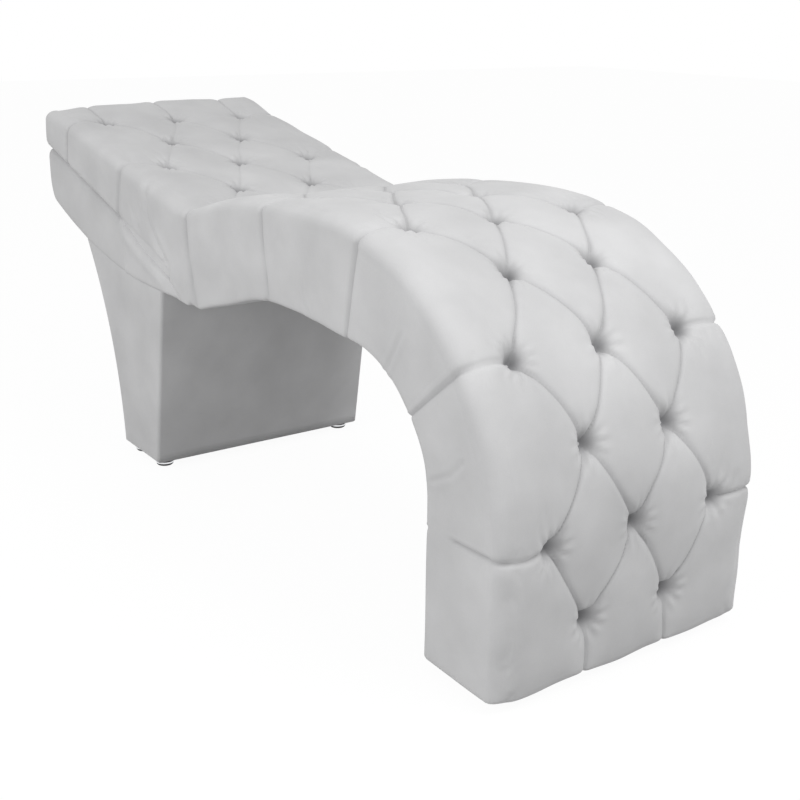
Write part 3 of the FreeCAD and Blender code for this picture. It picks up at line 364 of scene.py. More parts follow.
# %% Lay the grid over the wave
FOLD_HEM_EDGE, SLIT_HEM_EDGE = 0.0015, 0.012
FOLD_HEM_SPAN = (-0.235, -0.120)
walked, inset, end_share = rows.T
depth = cover_depth(walked)
points, inward = crown.at(walked)
ahead = np.stack([inward[:, 1], -inward[:, 0]], -1)
hem_x = points[:, 0] + inward[:, 0] * depth
at_fold = (hem_x > FOLD_HEM_SPAN[0]) & (hem_x < FOLD_HEM_SPAN[1])
hem_edge = np.where(at_fold, FOLD_HEM_EDGE, LOWER_EDGE)
hem_edge = np.where(walked > SLIT_ALONG, SLIT_HEM_EDGE, hem_edge)
sections = np.stack([section(d, edge) for d, edge in zip(depth, hem_edge)])
shrink_across = (HALF_WIDTH - inset) / HALF_WIDTH
shrink_depth = np.maximum(depth - 2 * inset, 0.0) / depth
across = sections[:, :, 0] * shrink_across[:, None]
below = inset[:, None] + sections[:, :, 1] * shrink_depth[:, None]
facing_across, facing_depth = sections[:, :, 2], sections[:, :, 3]
kept = np.sqrt(np.maximum(1 - end_share ** 2, 0))[:, None]
along = np.repeat(walked[:, None], AROUND + 1, axis=1)
unrolled = np.sign(across) * (np.abs(across) + np.where(facing_depth > 0.5, 0, below - inset[:, None]))
place = np.empty(across.shape + (3,))
place[:, :, 0] = points[:, None, 0] + inward[:, None, 0] * below
place[:, :, 1] = across
place[:, :, 2] = points[:, None, 1] + inward[:, None, 1] * below
outward = np.empty_like(place)
outward[:, :, 0] = facing_depth * inward[:, None, 0] * kept + ahead[:, None, 0] * end_share[:, None]
outward[:, :, 1] = facing_across * kept
outward[:, :, 2] = facing_depth * inward[:, None, 1] * kept + ahead[:, None, 1] * end_share[:, None]
print("cover points", place.shape)

# %% [markdown]
# The tufts are drawn in along the outward direction. Each button sits at the bottom of a narrow pit in
# the middle of a wider dip. From pit to pit runs a folded pleat, deep at the pits and only a sharp line
# half way, and between the pleats the puffs stand full and nearly flat. The seat and the leg are buttoned
# deep. The back is pulled less, so there the pits show more than the pleats between them.

# %% Where the cover is pulled in
PIT_DEPTH = 0.034
PIT_RADIUS = 0.0135
BACK_PIT_LESS = 0.012
PULL_RADIUS = 0.040
CAP_KEPT, CAP_FADE = 0.020, 0.012
to_pleat = to_lines(pleats, along, unrolled)
to_button, button_angle, button_number = to_buttons(along, unrolled)
cap_fade = np.exp(-np.maximum(inset - CAP_KEPT, 0) / CAP_FADE)[:, None]
on_top = np.clip(-facing_depth, 0, 1) * cap_fade
on_side = np.clip(np.abs(facing_across), 0, 1) * cap_fade
back_share = ease(along, FOLD - 0.16, FOLD + 0.06)
near_button = np.exp(-(to_button / PULL_RADIUS) ** 2)
button_pull = (0.0110 - 0.0060 * back_share) * near_button
head_edge = ease(along, ROWS[-1] + 0.010, crown.length - 0.030)
pit = np.exp(-(to_button / PIT_RADIUS) ** 2)
print("pits", len(buttons), "deep", PIT_DEPTH, "on the back", round(PIT_DEPTH - BACK_PIT_LESS, 4))

# %% Tufts on top
pleat_depth = 0.0036 - 0.0026 * back_share + button_pull
pleat_depth += 0.0060 * head_edge
pleat_reach = 0.018 + 0.028 * near_button + 0.014 * head_edge
fold = np.exp(-to_pleat / 0.003) * (1 - 0.7 * back_share + 0.7 * back_share * near_button)
drawn_in = pleat_depth * (1 - swell(to_pleat, pleat_reach)) + 0.0022 * fold
drawn_in += (0.0080 - 0.0030 * back_share) * np.exp(-(to_button / 0.036) ** 1.4)
drawn_in += (PIT_DEPTH - BACK_PIT_LESS * back_share - drawn_in) * pit
pucker = np.cos((9 + button_number % 4) * button_angle + button_number * 1.7)
drawn_in += 0.0019 * pucker * np.exp(-((to_button - 0.027) / 0.013) ** 2)
drawn_in *= on_top ** 0.5
print("deepest tuft", round(float(drawn_in.max()), 4))

# %% [markdown]
# The stuffing is fullest on the leg, where the puffs stand out most over the template line, and it thins
# towards the floor, over the crest and on the back. At the head end it rises towards the far side, and
# the near corner is pulled in.

# %% Fullness of the puffs
PUFF = 0.006
LEG_PUFF = 0.0092
HEAD_PUFF = 0.006
NEAR_CORNER_PULL = 0.012


def crest_at(along, across):
    """How far the puffs stand out over the crown."""
    leg = LEG_PUFF * ease(along, 1.15, 0.70) * ease(along, 0.00, 0.28)
    head = HEAD_PUFF * ease(along, ROWS[-1] + 0.010, crown.length - 0.030) * ease(across, -0.26, 0.08)
    corner = NEAR_CORNER_PULL * ease(along, ROWS[-1] + 0.020, crown.length) * ease(across, -0.17, -0.29)
    return PUFF + leg + head - corner


crest = crest_at(along, unrolled)
print("puffs stand out", round(float(crest.min()), 4), "to", round(float(crest.max()), 4))

# %% [markdown]
# On the sides the pleats of the outer buttons run on as single folds. They pinch the soft edge, then
# fade on the way down, because the cloth is pulled flat over the board there. Between two folds the
# stuffing pushes the cloth out a little.

# %% Folds on the sides
to_side_pleat = to_lines(edge_pleats + side_pleats, along, unrolled)
past_pleat = np.full(along.shape, FAR_AWAY)
for s, *_ in side_pleats:
    past_pleat = np.where(np.abs(along - s) < np.abs(past_pleat), along - s, past_pleat)
pinch = (0.0050 - 0.0030 * back_share) * np.exp(-below / 0.024) + 0.0020
pinch += button_pull
side_reach = 0.030 + 0.024 * near_button
side_fold = pinch * (1 - swell(to_side_pleat, side_reach))
side_fold += (PIT_DEPTH - side_fold) * pit
drawn_in = np.maximum(drawn_in, side_fold * np.clip(on_top + on_side, 0, 1))
ridge = np.exp(-((past_pleat - 0.010) / 0.005) ** 2) * np.exp(-(to_side_pleat / 0.020) ** 2)
nip = 0.0024 * np.exp(-to_side_pleat / 0.004) - 0.0020 * ridge
outer_strip = np.abs(unrolled) > PITCH
height_share = np.clip((below - TOP_EDGE) / (depth[:, None] - TOP_EDGE - LOWER_EDGE), 0, 1)
swelled = on_side * (0.0020 + 0.0026 * (1 - height_share ** 2) * swell(to_side_pleat, 0.080))
shoulder = 0.0040 * (1 - back_share) * np.exp(-((np.abs(unrolled) - 0.268) / 0.020) ** 2) * cap_fade
relief = (swelled + crest * on_top) * kept - drawn_in
relief -= shoulder * (facing_depth < 0.5)
relief -= nip * on_side * outer_strip
print("side folds", len(side_pleats), "swell", round(float(swelled.max()), 4))

# %% [markdown]
# Where the side cloth is pulled round the arch and gathered at the gusset, short creases stay in it. Each
# is a narrow furrow with a raised fold beside it, drawn as lines in the side view.


# %% Short wrinkles above the arch
def furrow(distance, depth, width, ridge, ridge_at, ridge_width):
    """Relief of a crease: a narrow furrow, and a raised fold beside it."""
    beside = ridge * np.exp(-((distance - ridge_at) / ridge_width) ** 2)
    return beside - depth * np.exp(-distance / width)


wrinkles = [
    (0.358, 0.599, 0.350, 0.554), (0.350, 0.554, 0.371, 0.530), (0.660, 0.562, 0.614, 0.493),
    (0.744, 0.343, 0.792, 0.368), (0.792, 0.368, 0.825, 0.400), (0.120, 0.500, 0.125, 0.470),
]
side_x, side_z = place[:, :, 0], place[:, :, 2]
to_wrinkle = to_lines(wrinkles, side_x, side_z)
relief += on_side * furrow(to_wrinkle, 0.0022, 0.004, 0.0016, 0.009, 0.006)
print("wrinkles", len(wrinkles))

# %% Creases of the gusset
GUSSET_BEGIN = 1.45
PAD_SIDE = 0.0034
crease_above = [
    (-0.312, 0.672, -0.303, 0.650), (-0.303, 0.650, -0.297, 0.602),
    (-0.297, 0.602, -0.266, 0.561), (-0.266, 0.561, -0.215, 0.517),
]
crease_short = [(-0.385, 0.610, -0.350, 0.560), (-0.350, 0.560, -0.285, 0.520)]
to_crease = to_lines(crease_above, side_x, side_z)
to_short = to_lines(crease_short, side_x, side_z)
on_gusset = on_side * (along > GUSSET_BEGIN)
pad_side = PAD_SIDE * ease(side_x, -0.449, -0.456)
folds = furrow(to_crease, 0.0034, 0.0045, 0.0026, 0.020, 0.013)
folds += furrow(to_short, 0.0012, 0.006, 0.0010, 0.018, 0.010)
behind_crease = (hem_x < -0.230) & (walked < SLIT_ALONG)
tucked = behind_crease[:, None] * np.exp(-(depth[:, None] - below) / 0.014)
relief += on_gusset * (pad_side + folds - PAD_SIDE * tucked)
print("gusset creases", len(crease_above), len(crease_short))

# %% [markdown]
# Hand work is never quite even. A slow noise lifts one puff a little more than the next, and the grid
# points slide by a few millimetres along the surface, so that the pleats between the buttons bend.


# %% Hand-made unevenness
def slow_noise(places, scale):
    """A noise that changes slowly over the points of a grid."""
    values = [noise.noise(Vector(p) * scale) for p in places.reshape(-1, 3)]
    return np.array(values).reshape(places.shape[:2])


uneven = slow_noise(place, 13.0)
relief += 0.0018 * uneven * on_top * (1 - pit) + 0.0007 * uneven * on_side
loose = on_top * (1 - np.exp(-(to_button / 0.035) ** 2)) * kept
slide_along = 0.0040 * loose * np.sin(along / 0.037 + unrolled / 0.051) * np.sin(unrolled / 0.064 + 1.3)
slide_across = 0.0034 * loose * np.sin(along / 0.043 + 0.6) * np.cos(unrolled / 0.058 + along / 0.09)
place += outward * relief[:, :, None]
place[:, :, 0] += ahead[:, None, 0] * slide_along
place[:, :, 1] += slide_across
place[:, :, 2] += ahead[:, None, 1] * slide_along
print("largest slide", round(float(np.abs(slide_along).max()), 4))

# %% [markdown]
# Last, the stuffing pushes the cover out from inside. A coarser copy of the grid is made a cloth, held
# where it is buttoned, folded or stapled: at the pits, the pleats, the hem, the ends and the lining. A
# light pressure blows it up for twenty frames without gravity. The cover then takes over how far each
# place has moved, five millimetres at most, and the trial cloth is thrown away.

# %% Let the cloth settle
PRESSURE = 4.0
LAST_FRAME = 20
MOST_MOVED = 0.005
CLOTH_QUALITY = 4
SIDE_CALM = 0.75
held = np.maximum(pit, np.exp(-(to_pleat / 0.006) ** 2) * on_top ** 0.5)
held = np.maximum(held, np.exp(-(to_side_pleat / 0.008) ** 2) * on_side)
held = np.maximum(held, ease(below, depth[:, None] - 0.090, depth[:, None] - 0.030))
held = np.maximum(held, ease(kept, 0.98, 0.80))
held = np.where(facing_depth > 0, 1.0, np.clip(held, 0, 1))


def every_second(count):
    """Numbers of every second row, with the last one."""
    return np.unique(np.append(np.arange(0, count, 2), count - 1))


def refined(values, chosen, axis):
    """Values at chosen rows, filled in for the rows between them."""
    spot = np.interp(np.arange(chosen[-1] + 1), chosen, np.arange(len(chosen)))
    first = np.minimum(spot.astype(int), len(chosen) - 2)
    share = (spot - first).reshape((-1, 1, 1) if axis == 0 else (1, -1, 1))
    return np.take(values, first, axis) * (1 - share) + np.take(values, first + 1, axis) * share


def blown_up(places, weights):
    """Places of a cloth of this shape after pressure from inside."""
    count, around = weights.shape
    corner = np.arange(count * around).reshape(count, around)
    around_face = [corner[:-1, :-1], corner[:-1, 1:], corner[1:, 1:], corner[1:, :-1]]
    quads = np.stack(around_face, -1).reshape(-1, 4)
    mesh = bpy.data.meshes.new("trial_cloth")
    mesh.from_pydata(places.reshape(-1, 3).tolist(), [], quads.tolist())
    trial = bpy.data.objects.new("trial_cloth", mesh)
    bpy.context.scene.collection.objects.link(trial)
    group = trial.vertex_groups.new(name="held")
    for number, weight in enumerate(weights.ravel().tolist()):
        group.add([number], weight, "REPLACE")
    cloth = trial.modifiers.new("cloth", "CLOTH")
    cloth.settings.quality = CLOTH_QUALITY
    cloth.settings.use_pressure = True
    cloth.settings.uniform_pressure_force = PRESSURE
    cloth.settings.vertex_group_mass = group.name
    cloth.settings.effector_weights.gravity = 0
    cloth.collision_settings.use_collision = False
    cloth.point_cache.frame_start = 1
    cloth.point_cache.frame_end = LAST_FRAME
    for frame_number in range(1, LAST_FRAME + 1):
        bpy.context.scene.frame_set(frame_number)
    after = trial.evaluated_get(bpy.context.evaluated_depsgraph_get()).data
    found = np.empty(count * around * 3)
    after.vertices.foreach_get("co", found)
    bpy.data.objects.remove(trial)
    bpy.data.meshes.remove(mesh)
    bpy.context.scene.frame_set(1)
    return found.reshape(count, around, 3)


some_rows, some_columns = every_second(place.shape[0]), every_second(place.shape[1])
coarse = place[np.ix_(some_rows, some_columns)]
moved = blown_up(coarse, held[np.ix_(some_rows, some_columns)]) - coarse
far = np.linalg.norm(moved, axis=2, keepdims=True) + 1e-9
moved *= MOST_MOVED * np.tanh(far / MOST_MOVED) / far
calm = (1 - SIDE_CALM * on_side)[:, :, None]
place += refined(refined(moved, some_rows, 0), some_columns, 1) * calm
print("cloth points", far.size, "moved on average", round(float(far.mean()), 4))

# %% Keep the sides within the width
SOFT_HALF, SOFT_SPAN = 0.2860, 0.0070
proud = np.maximum(np.abs(place[:, :, 1]) - SOFT_HALF, 0)
place[:, :, 1] -= np.sign(place[:, :, 1]) * (proud - SOFT_SPAN * np.tanh(proud / SOFT_SPAN))
print("half width", round(float(np.abs(place[:, :, 1]).max()), 4))


# %% Make the cover
SHEET = 0.0010


def add_piece(name, shape, smooth=True):
    """An object in the scene from a finished shape."""
    for face in shape.faces:
        face.smooth = smooth
    mesh = bpy.data.meshes.new(name)
    shape.to_mesh(mesh)
    shape.free()
    piece = bpy.data.objects.new(name, mesh)
    bpy.context.scene.collection.objects.link(piece)
    print(name, "points", len(mesh.vertices), "faces", len(mesh.polygons))
    return piece


def grid_piece(name, places, shade=None, filled=True):
    """A piece from a flat grid whose points are moved to the given places: a skin with filled ends, or
    else a sheet of cloth."""
    count_along, count_around = places.shape[0] - 1, places.shape[1] - 1
    shape = bmesh.new()
    bmesh.ops.create_grid(shape, x_segments=count_around, y_segments=count_along, size=0.5)
    shade_layer = shape.verts.layers.float.new("fold_shade")
    for vert in shape.verts:
        i = round((vert.co.y + 0.5) * count_along)
        j = round((vert.co.x + 0.5) * count_around)
        vert.co = places[i, j]
        vert[shade_layer] = 0 if shade is None else shade[i, j]
    bmesh.ops.remove_doubles(shape, verts=shape.verts, dist=1e-5)
    if filled:
        bmesh.ops.holes_fill(shape, edges=[edge for edge in shape.edges if edge.is_boundary], sides=0)
    bmesh.ops.recalc_face_normals(shape, faces=shape.faces)
    if not filled:
        bmesh.ops.solidify(shape, geom=shape.faces[:], thickness=SHEET)
    return add_piece(name, shape)


# Painted shade for the velvet's colour: darkest in the pits, lighter along the pleats and the side folds.
top_shade = on_top * np.clip(1.1 * pit + 0.20 * fold, 0, 1)
side_shade = 0.35 * on_side * np.exp(-to_side_pleat / 0.004)
cover = grid_piece("tufted_cover", place, top_shade + side_shade)

# %% [markdown]
# The lower head panel is a fixed wedge under the back: flat on top, where the back rests, curved below
# and round at its nose. It is wrapped in the same velvet, so its edges are soft. Its skin is a grid too,
# laid along the panel and round its section. In front of the slit the side cloth of the bed laps over
# it: a narrow upright lip shows there, and the top of the side follows the gusset's crease. The side is
# shaded a little below the slit and along its lower edge.

# %% Outline of the lower head panel
NOSE = int(np.argmin(under.x))
PANEL_HALF = 0.2815
PANEL_EDGE = 0.015
PANEL_LOWER_EDGE = 0.008
PANEL_BEGIN = -0.136
NOSE_LOWER_ROUND, NOSE_UPPER_ROUND = 0.026, 0.013
BELLY_TOP = 0.5945
nose_x = under.x[NOSE]
belly = under.z[:NOSE + 1] < BELLY_TOP
belly_x, belly_z = under.x[:NOSE + 1][belly], under.z[:NOSE + 1][belly]
belly_rise = (belly_z[-1] - belly_z[-4]) / (belly_x[-4] - belly_x[-1])


def shelf_top(x):
    """Height of the panel's flat top."""
    return under.z[-1] + math.tan(math.radians(BOARD_SLOPE)) * (under.x[-1] - x)


def nose_cut(x, radius):
    """How far a quarter round at the nose draws an edge of the side in."""
    share = min(max((nose_x + radius - x) / radius, 0), 1)
    return radius * (1 - math.sqrt(1 - share ** 2))


def panel_span(x):
    """Lower and upper height of the panel's side at a place along the bed, rounded at its nose."""
    low = np.interp(x, belly_x[::-1], belly_z[::-1]) + belly_rise * max(belly_x[-1] - x, 0)
    low += nose_cut(x, NOSE_LOWER_ROUND)
    high = shelf_top(x) - nose_cut(x, NOSE_UPPER_ROUND)
    at_crease = np.interp(x, crease[::-1, 0], crease[::-1, 1]) - 0.001
    lapped = ease(x, slit_end[0] - 0.004, slit_end[0] + 0.008)
    return low, high + (max(at_crease, low + 0.004) - high) * lapped


def panel_section(low, high):
    """Closed section of the panel from the middle of its underside, as place across and height."""
    edge = min(PANEL_EDGE, 0.20 * (high - low))
    low_edge = min(PANEL_LOWER_EDGE, 0.42 * (high - low))
    quarter = np.linspace(0, math.pi / 2, 6)[:-1]
    flat = PANEL_HALF - low_edge
    near = [(-flat * i / 8, low) for i in range(8)]
    near += [(-flat - low_edge * math.sin(a), low + low_edge * (1 - math.cos(a))) for a in quarter]
    near += [(-PANEL_HALF, z) for z in np.linspace(low + low_edge, high - edge, 25)[:-1]]
    flat = PANEL_HALF - edge
    near += [(-flat - edge * math.cos(a), high - edge * (1 - math.sin(a))) for a in quarter]
    top = [(y, high) for y in np.linspace(-flat, flat, 25)]
    far = [(-y, z) for y, z in reversed(near)]
    return near + top + far


print("panel from", PANEL_BEGIN, "to", round(float(nose_x), 4))

# %% Rings of the lower head panel
LIP_SPAN = (-0.430, -0.465)
NOSE_SPAN = 0.030
stations = list(np.linspace(PANEL_BEGIN, LIP_SPAN[0], 57)[:-1])
stations += list(np.linspace(LIP_SPAN[0], LIP_SPAN[1], 19)[:-1])
stations += list(np.linspace(LIP_SPAN[1], nose_x + NOSE_SPAN, 70))
stations += [nose_x + NOSE_SPAN * (1 - math.sin(a)) for a in np.linspace(0, math.pi / 2, 14)[1:]]


def panel_shade(x, z, low, high):
    """Shade on the panel's side: below the slit, and along its lower edge."""
    below_slit = 0.45 * math.exp((z - high) / 0.012) * (x < slit_end[0])
    return below_slit + 0.60 * math.exp((low - z) / 0.004)


panel_place = []
edge_shade = []
for x in stations:
    low, high = panel_span(x)
    ring = panel_section(low, high)
    panel_place.append([(x, y, z) for y, z in ring])
    edge_shade.append([panel_shade(x, z, low, high) for _, z in ring])
face_middle = sum(panel_span(nose_x)) / 2
nose_row = panel_place[-1]
for share in (0.6, 0.1):
    drawn = 0.88 + 0.12 * share
    closing = [(x, y * drawn, face_middle + (z - face_middle) * share) for x, y, z in nose_row]
    panel_place.append(closing)
    edge_shade.append([0.0] * len(closing))
panel_place = np.array(panel_place)
print("panel rings", len(panel_place), "points in a ring", len(nose_row))

# %% Lower head panel
side_x, side_y, side_z = (panel_place[:, :, i] for i in range(3))
crease_lines = [tuple(a) + tuple(b) for a, b in zip(crease[:-1], crease[1:])]
under_crease = to_lines(crease_lines, side_x, side_z)
lip = ease(side_x, -0.4515, -0.4465)
rolled = 0.0042 * lip * np.exp(-((under_crease - 0.022) / 0.016) ** 2)
lift = PAD_SIDE * lip + rolled * ease(side_x, -0.20, -0.26)
lift += 0.0014 * np.exp(-((side_x + 0.4440) / 0.0035) ** 2)
lift -= 0.0022 * np.exp(-np.abs(side_x + 0.4535) / 0.0035) + 0.0010 * ease(side_x, -0.26, -0.20)
lift += 0.0012 * np.sin((side_x + 0.46) / 0.45 * math.pi) * (side_x < -0.46)
panel_uneven = slow_noise(panel_place, 11.0)
sideways = np.clip((np.abs(side_y) - PANEL_HALF + PANEL_EDGE) / PANEL_EDGE, 0, 1)
panel_place[:, :, 1] += np.sign(side_y) * sideways * (lift + 0.0008 * panel_uneven)
panel = grid_piece("lower_head_panel", panel_place, np.array(edge_shade) * sideways)

# %% [markdown]
# The pedestal is a plain flared box: its foot-side face leans a little, its head-side face sweeps out in
# a curve. The outline is drawn once in the side view, pulled across the bed, and the upright corners are
# bevelled, because the cloth turns there over a padded corner. Its top stands inside the panel.


# %% Pedestal
def bow(first, last, depth, count):
    """Points on an arc from first to last that bows by depth to the left of the way."""
    first, last = Vector(first), Vector(last)
    chord = last - first
    side = Vector((-chord.y, chord.x)).normalized()
    return [first + chord * t + side * (4 * depth * t * (1 - t)) for t in np.linspace(0, 1, count)]


PEDESTAL_HALF = 0.2795
PEDESTAL_TOE = -0.336
PEDESTAL_RISE = 0.447
PEDESTAL_CORNER = 0.009
foot_lean = math.tan(math.radians(9.2))
flare = bow((-0.525, FLOOR_GAP), (-0.697, 0.500), -0.036, 25)
outline = [(PEDESTAL_TOE + foot_lean * PEDESTAL_RISE, FLOOR_GAP + PEDESTAL_RISE)]
outline += [(PEDESTAL_TOE, FLOOR_GAP)] + [tuple(p) for p in flare]
outline += [(-0.600, 0.492), (-0.480, 0.472)]
shape = bmesh.new()
ring = [shape.verts.new((x, -PEDESTAL_HALF, z)) for x, z in outline]
wall = shape.faces.new(ring)
pulled = bmesh.ops.extrude_face_region(shape, geom=[wall])
far_ring = [v for v in pulled["geom"] if isinstance(v, bmesh.types.BMVert)]
bmesh.ops.translate(shape, verts=far_ring, vec=(0, 2 * PEDESTAL_HALF, 0))
bmesh.ops.recalc_face_normals(shape, faces=shape.faces)
corners = [e for e in shape.edges if abs(e.verts[0].co.y - e.verts[1].co.y) < 1e-6]
bmesh.ops.bevel(
    shape, geom=corners, offset=PEDESTAL_CORNER, offset_type="OFFSET", affect="EDGES", segments=4,
    profile=0.5, material=-1, clamp_overlap=True,
)
for height in np.linspace(0.04, 0.46, 22):
    cut = shape.verts[:] + shape.edges[:] + shape.faces[:]
    bmesh.ops.bisect_plane(shape, geom=cut, dist=1e-6, plane_co=(0, 0, height), plane_no=(0, 0, 1))
pedestal = add_piece("pedestal_sleeve", shape)

# %% [markdown]
# Each button is a small dome covered with the same velvet. It sits at the bottom of its funnel, square
# to the crown.

# %% Buttons
BUTTON_RADIUS = 0.0100
BUTTON_FLATNESS = 0.45
BUTTON_SUNK = 0.003


def button_piece(name, chosen):
    """All buttons of one pad as one object."""
    shape = bmesh.new()
    for s, y in chosen:
        (point,), (inner,) = crown.at(np.array([s]))
        made = bmesh.ops.create_uvsphere(shape, u_segments=20, v_segments=10, radius=BUTTON_RADIUS)
        bmesh.ops.scale(shape, verts=made["verts"], vec=(1, 1, BUTTON_FLATNESS))
        outer = Vector((-inner[0], 0, -inner[1]))
        turn = Vector((0, 0, 1)).rotation_difference(outer).to_matrix()
        bmesh.ops.rotate(shape, verts=made["verts"], cent=(0, 0, 0), matrix=turn)
        sunk = PIT_DEPTH + BUTTON_SUNK - crest_at(s, y) - (0.0 if s < FOLD else BACK_PIT_LESS)
        spot = Vector((point[0], y, point[1])) - outer * sunk
        bmesh.ops.translate(shape, verts=made["verts"], vec=spot)
    return add_piece(name, shape)


seat_buttons = button_piece("seat_buttons", [b for b in buttons if b[0] < FOLD])
back_buttons = button_piece("back_buttons", [b for b in buttons if b[0] > FOLD])

# %% [markdown]
# Behind the crease a folded strip of cloth closes the side of the bed when the back is raised. At rest
# it lies hidden between the side cloth and the frame. Here it is a flat strip along the crease with a
# faint ripple. Flat patches of the same cloth lie on the ribs and on the board below the fold, and close
# the view into the frame there.

# %% Gusset linings
STRIP_LEAN, STRIP_RISE = 0.35, 0.93
STRIP_HALF = 0.2768
PATCH_HALF = 0.2765
SHELF_HALF, HINGE_ROOM = 0.268, 0.056
SHELF_LINING_DEPTH = 0.0022


def gusset_piece(name, side):
    """A strip of cloth along the crease on one side of the bed."""
    here = np.linspace(0, 1, 41)
    spread = np.linspace(-0.026, 0.034, 33)
    x = np.interp(here, [0, 1], [-0.205, slit_end[0] + 0.004])
    z = np.interp(x, crease[::-1, 0], crease[::-1, 1])
    places = np.empty((len(here), len(spread), 3))
    ripple = 0.0007 * np.sin(here * 9.0)[:, None] * np.sin(spread / 0.008)[None, :]
    places[:, :, 0] = x[:, None] + STRIP_LEAN * spread[None, :]
    places[:, :, 1] = side * (STRIP_HALF + ripple)
    places[:, :, 2] = z[:, None] + STRIP_RISE * spread[None, :]
    return grid_piece(name, places, filled=False)


def fold_lining_piece(name, side):
    """A flat patch of cloth on the rib below the fold."""
    x, z = np.meshgrid(np.linspace(-0.105, -0.262, 12), np.linspace(0.453, 0.536, 8), indexing="ij")
    y = np.full(x.shape, side * PATCH_HALF)
    return grid_piece(name, np.stack([x, y, z], -1), filled=False)


def shelf_lining_piece(name):
    """A flat strip of cloth on the board below the fold, narrower between the hinges."""
    x, share = np.meshgrid(np.linspace(-0.470, -0.262, 22), np.linspace(-1, 1, 15), indexing="ij")
    half = SHELF_HALF - HINGE_ROOM * ease(x, -0.378, -0.358)
    z = shelf_top(x) - SHELF_LINING_DEPTH
    return grid_piece(name, np.stack([x, share * half, z], -1), filled=False)


gusset_near = gusset_piece("gusset_lining_near", -1)
gusset_far = gusset_piece("gusset_lining_far", 1)
fold_linings = [
    fold_lining_piece("fold_lining_near", -1),
    fold_lining_piece("fold_lining_far", 1),
    shelf_lining_piece("shelf_lining"),
]

# %% [markdown]
# The velvet is a short silver-grey pile. Its colour wanders a little where the pile lies differently, a
# fine grain breaks up its surface, and a sheen lightens it where it is seen at a flat angle. The patches
# and the grain read Object coordinates, so the pattern runs on from one piece to the next. On top of that
# a painted shade darkens the colour in the pits, along the pleats and side folds, below the slit and
# along the panel's lower edge.


# %% Material helpers
def new_material(name):
    """A node material with its shader."""
    material = bpy.data.materials.new(name)
    material.use_nodes = True
    return material, material.node_tree, material.node_tree.nodes["Principled BSDF"]


def noise_of(tree, scale, detail, stretch=(1, 1, 1)):
    """A noise on Object coordinates, drawn out along the axes by stretch."""
    where = tree.nodes.new("ShaderNodeTexCoord")
    shift = tree.nodes.new("ShaderNodeMapping")
    shift.inputs["Scale"].default_value = stretch
    made = tree.nodes.new("ShaderNodeTexNoise")
    made.inputs["Scale"].default_value = scale
    made.inputs["Detail"].default_value = detail
    tree.links.new(where.outputs["Object"], shift.inputs["Vector"])
    tree.links.new(shift.outputs["Vector"], made.inputs["Vector"])
    return made


def ramp_of(tree, source, low, high, dark, light):
    """A colour ramp from dark at low to light at high."""
    ramp = tree.nodes.new("ShaderNodeValToRGB")
    ramp.color_ramp.elements[0].position = low
    ramp.color_ramp.elements[0].color = dark
    ramp.color_ramp.elements[1].position = high
    ramp.color_ramp.elements[1].color = light
    tree.links.new(source, ramp.inputs["Fac"])
    return ramp


def bump_of(tree, shader, source, strength, distance):
    """Relief on the shader from a grey source."""
    raised = tree.nodes.new("ShaderNodeBump")
    raised.inputs["Strength"].default_value = strength
    raised.inputs["Distance"].default_value = distance
    tree.links.new(source, raised.inputs["Height"])
    tree.links.new(raised.outputs["Normal"], shader.inputs["Normal"])
    return raised


# %% Velvet
VELVET_DARK, VELVET_LIGHT = (0.535, 0.535, 0.540, 1), (0.660, 0.660, 0.665, 1)
PAINTED_FOLD_SHADE = (0.42, 0.42, 0.43, 1)
GRAIN_SHARE = 0.35


def velvet_material(name, dark, light):
    """Short pile: patches where the nap lies another way, a fine grain, and painted shade from
    fold_shade.
    """
    material, tree, shader = new_material(name)
    patches = noise_of(tree, 7, 4)
    grain = noise_of(tree, 850, 2)
    mixed = tree.nodes.new("ShaderNodeMath")
    mixed.operation = "MULTIPLY_ADD"
    mixed.inputs[1].default_value = GRAIN_SHARE
    tree.links.new(grain.outputs["Fac"], mixed.inputs[0])
    tree.links.new(patches.outputs["Fac"], mixed.inputs[2])
    ramp = ramp_of(tree, mixed.outputs[0], 0.42, 0.98, dark, light)
    # Painted shade: the fold_shade value of each point darkens the colour in pits, pleats and along panel
    # edges.
    folded = tree.nodes.new("ShaderNodeAttribute")
    folded.attribute_name = "fold_shade"
    shaded = tree.nodes.new("ShaderNodeMix")
    shaded.data_type = "RGBA"
    shaded.blend_type = "MULTIPLY"
    shaded.inputs[7].default_value = PAINTED_FOLD_SHADE
    tree.links.new(folded.outputs["Fac"], shaded.inputs[0])
    tree.links.new(ramp.outputs["Color"], shaded.inputs[6])
    tree.links.new(shaded.outputs[2], shader.inputs["Base Color"])
    bump_of(tree, shader, grain.outputs["Fac"], 0.12, 0.001)
    shader.inputs["Roughness"].default_value = 0.70
    shader.inputs["Specular IOR Level"].default_value = 0.30
    shader.inputs["Sheen Weight"].default_value = 0.25
    shader.inputs["Sheen Roughness"].default_value = 0.4
    return material


velvet = velvet_material("silver_velvet", VELVET_DARK, VELVET_LIGHT)
dressed = [cover, panel, pedestal, seat_buttons, back_buttons, gusset_near, gusset_far] + fold_linings
for piece in dressed:
    piece.data.materials.append(velvet)
print("velvet on", len(dressed), "pieces")

# %% [markdown]
# The frame under the upholstery keeps its CAD shapes. They only need finishes: birch plywood with a long
# grain, zinc-plated steel at the hinges, bright chrome cups and black soles at the glides, and matt
# rubber for the bumpers under the back.


# %% Frame finishes
def plywood_material():
    """Birch plywood: long streaks and fine pores."""
    material, tree, shader = new_material("birch_plywood")
    streaks = noise_of(tree, 14, 6, (1, 12, 9))
    ramp = ramp_of(tree, streaks.outputs["Fac"], 0.30, 0.72, (0.47, 0.32, 0.19, 1), (0.68, 0.52, 0.35, 1))
    tree.links.new(ramp.outputs["Color"], shader.inputs["Base Color"])
    pores = noise_of(tree, 260, 3, (1, 9, 7))
    bump_of(tree, shader, pores.outputs["Fac"], 0.2, 0.0006)
    shader.inputs["Roughness"].default_value = 0.62
    return material


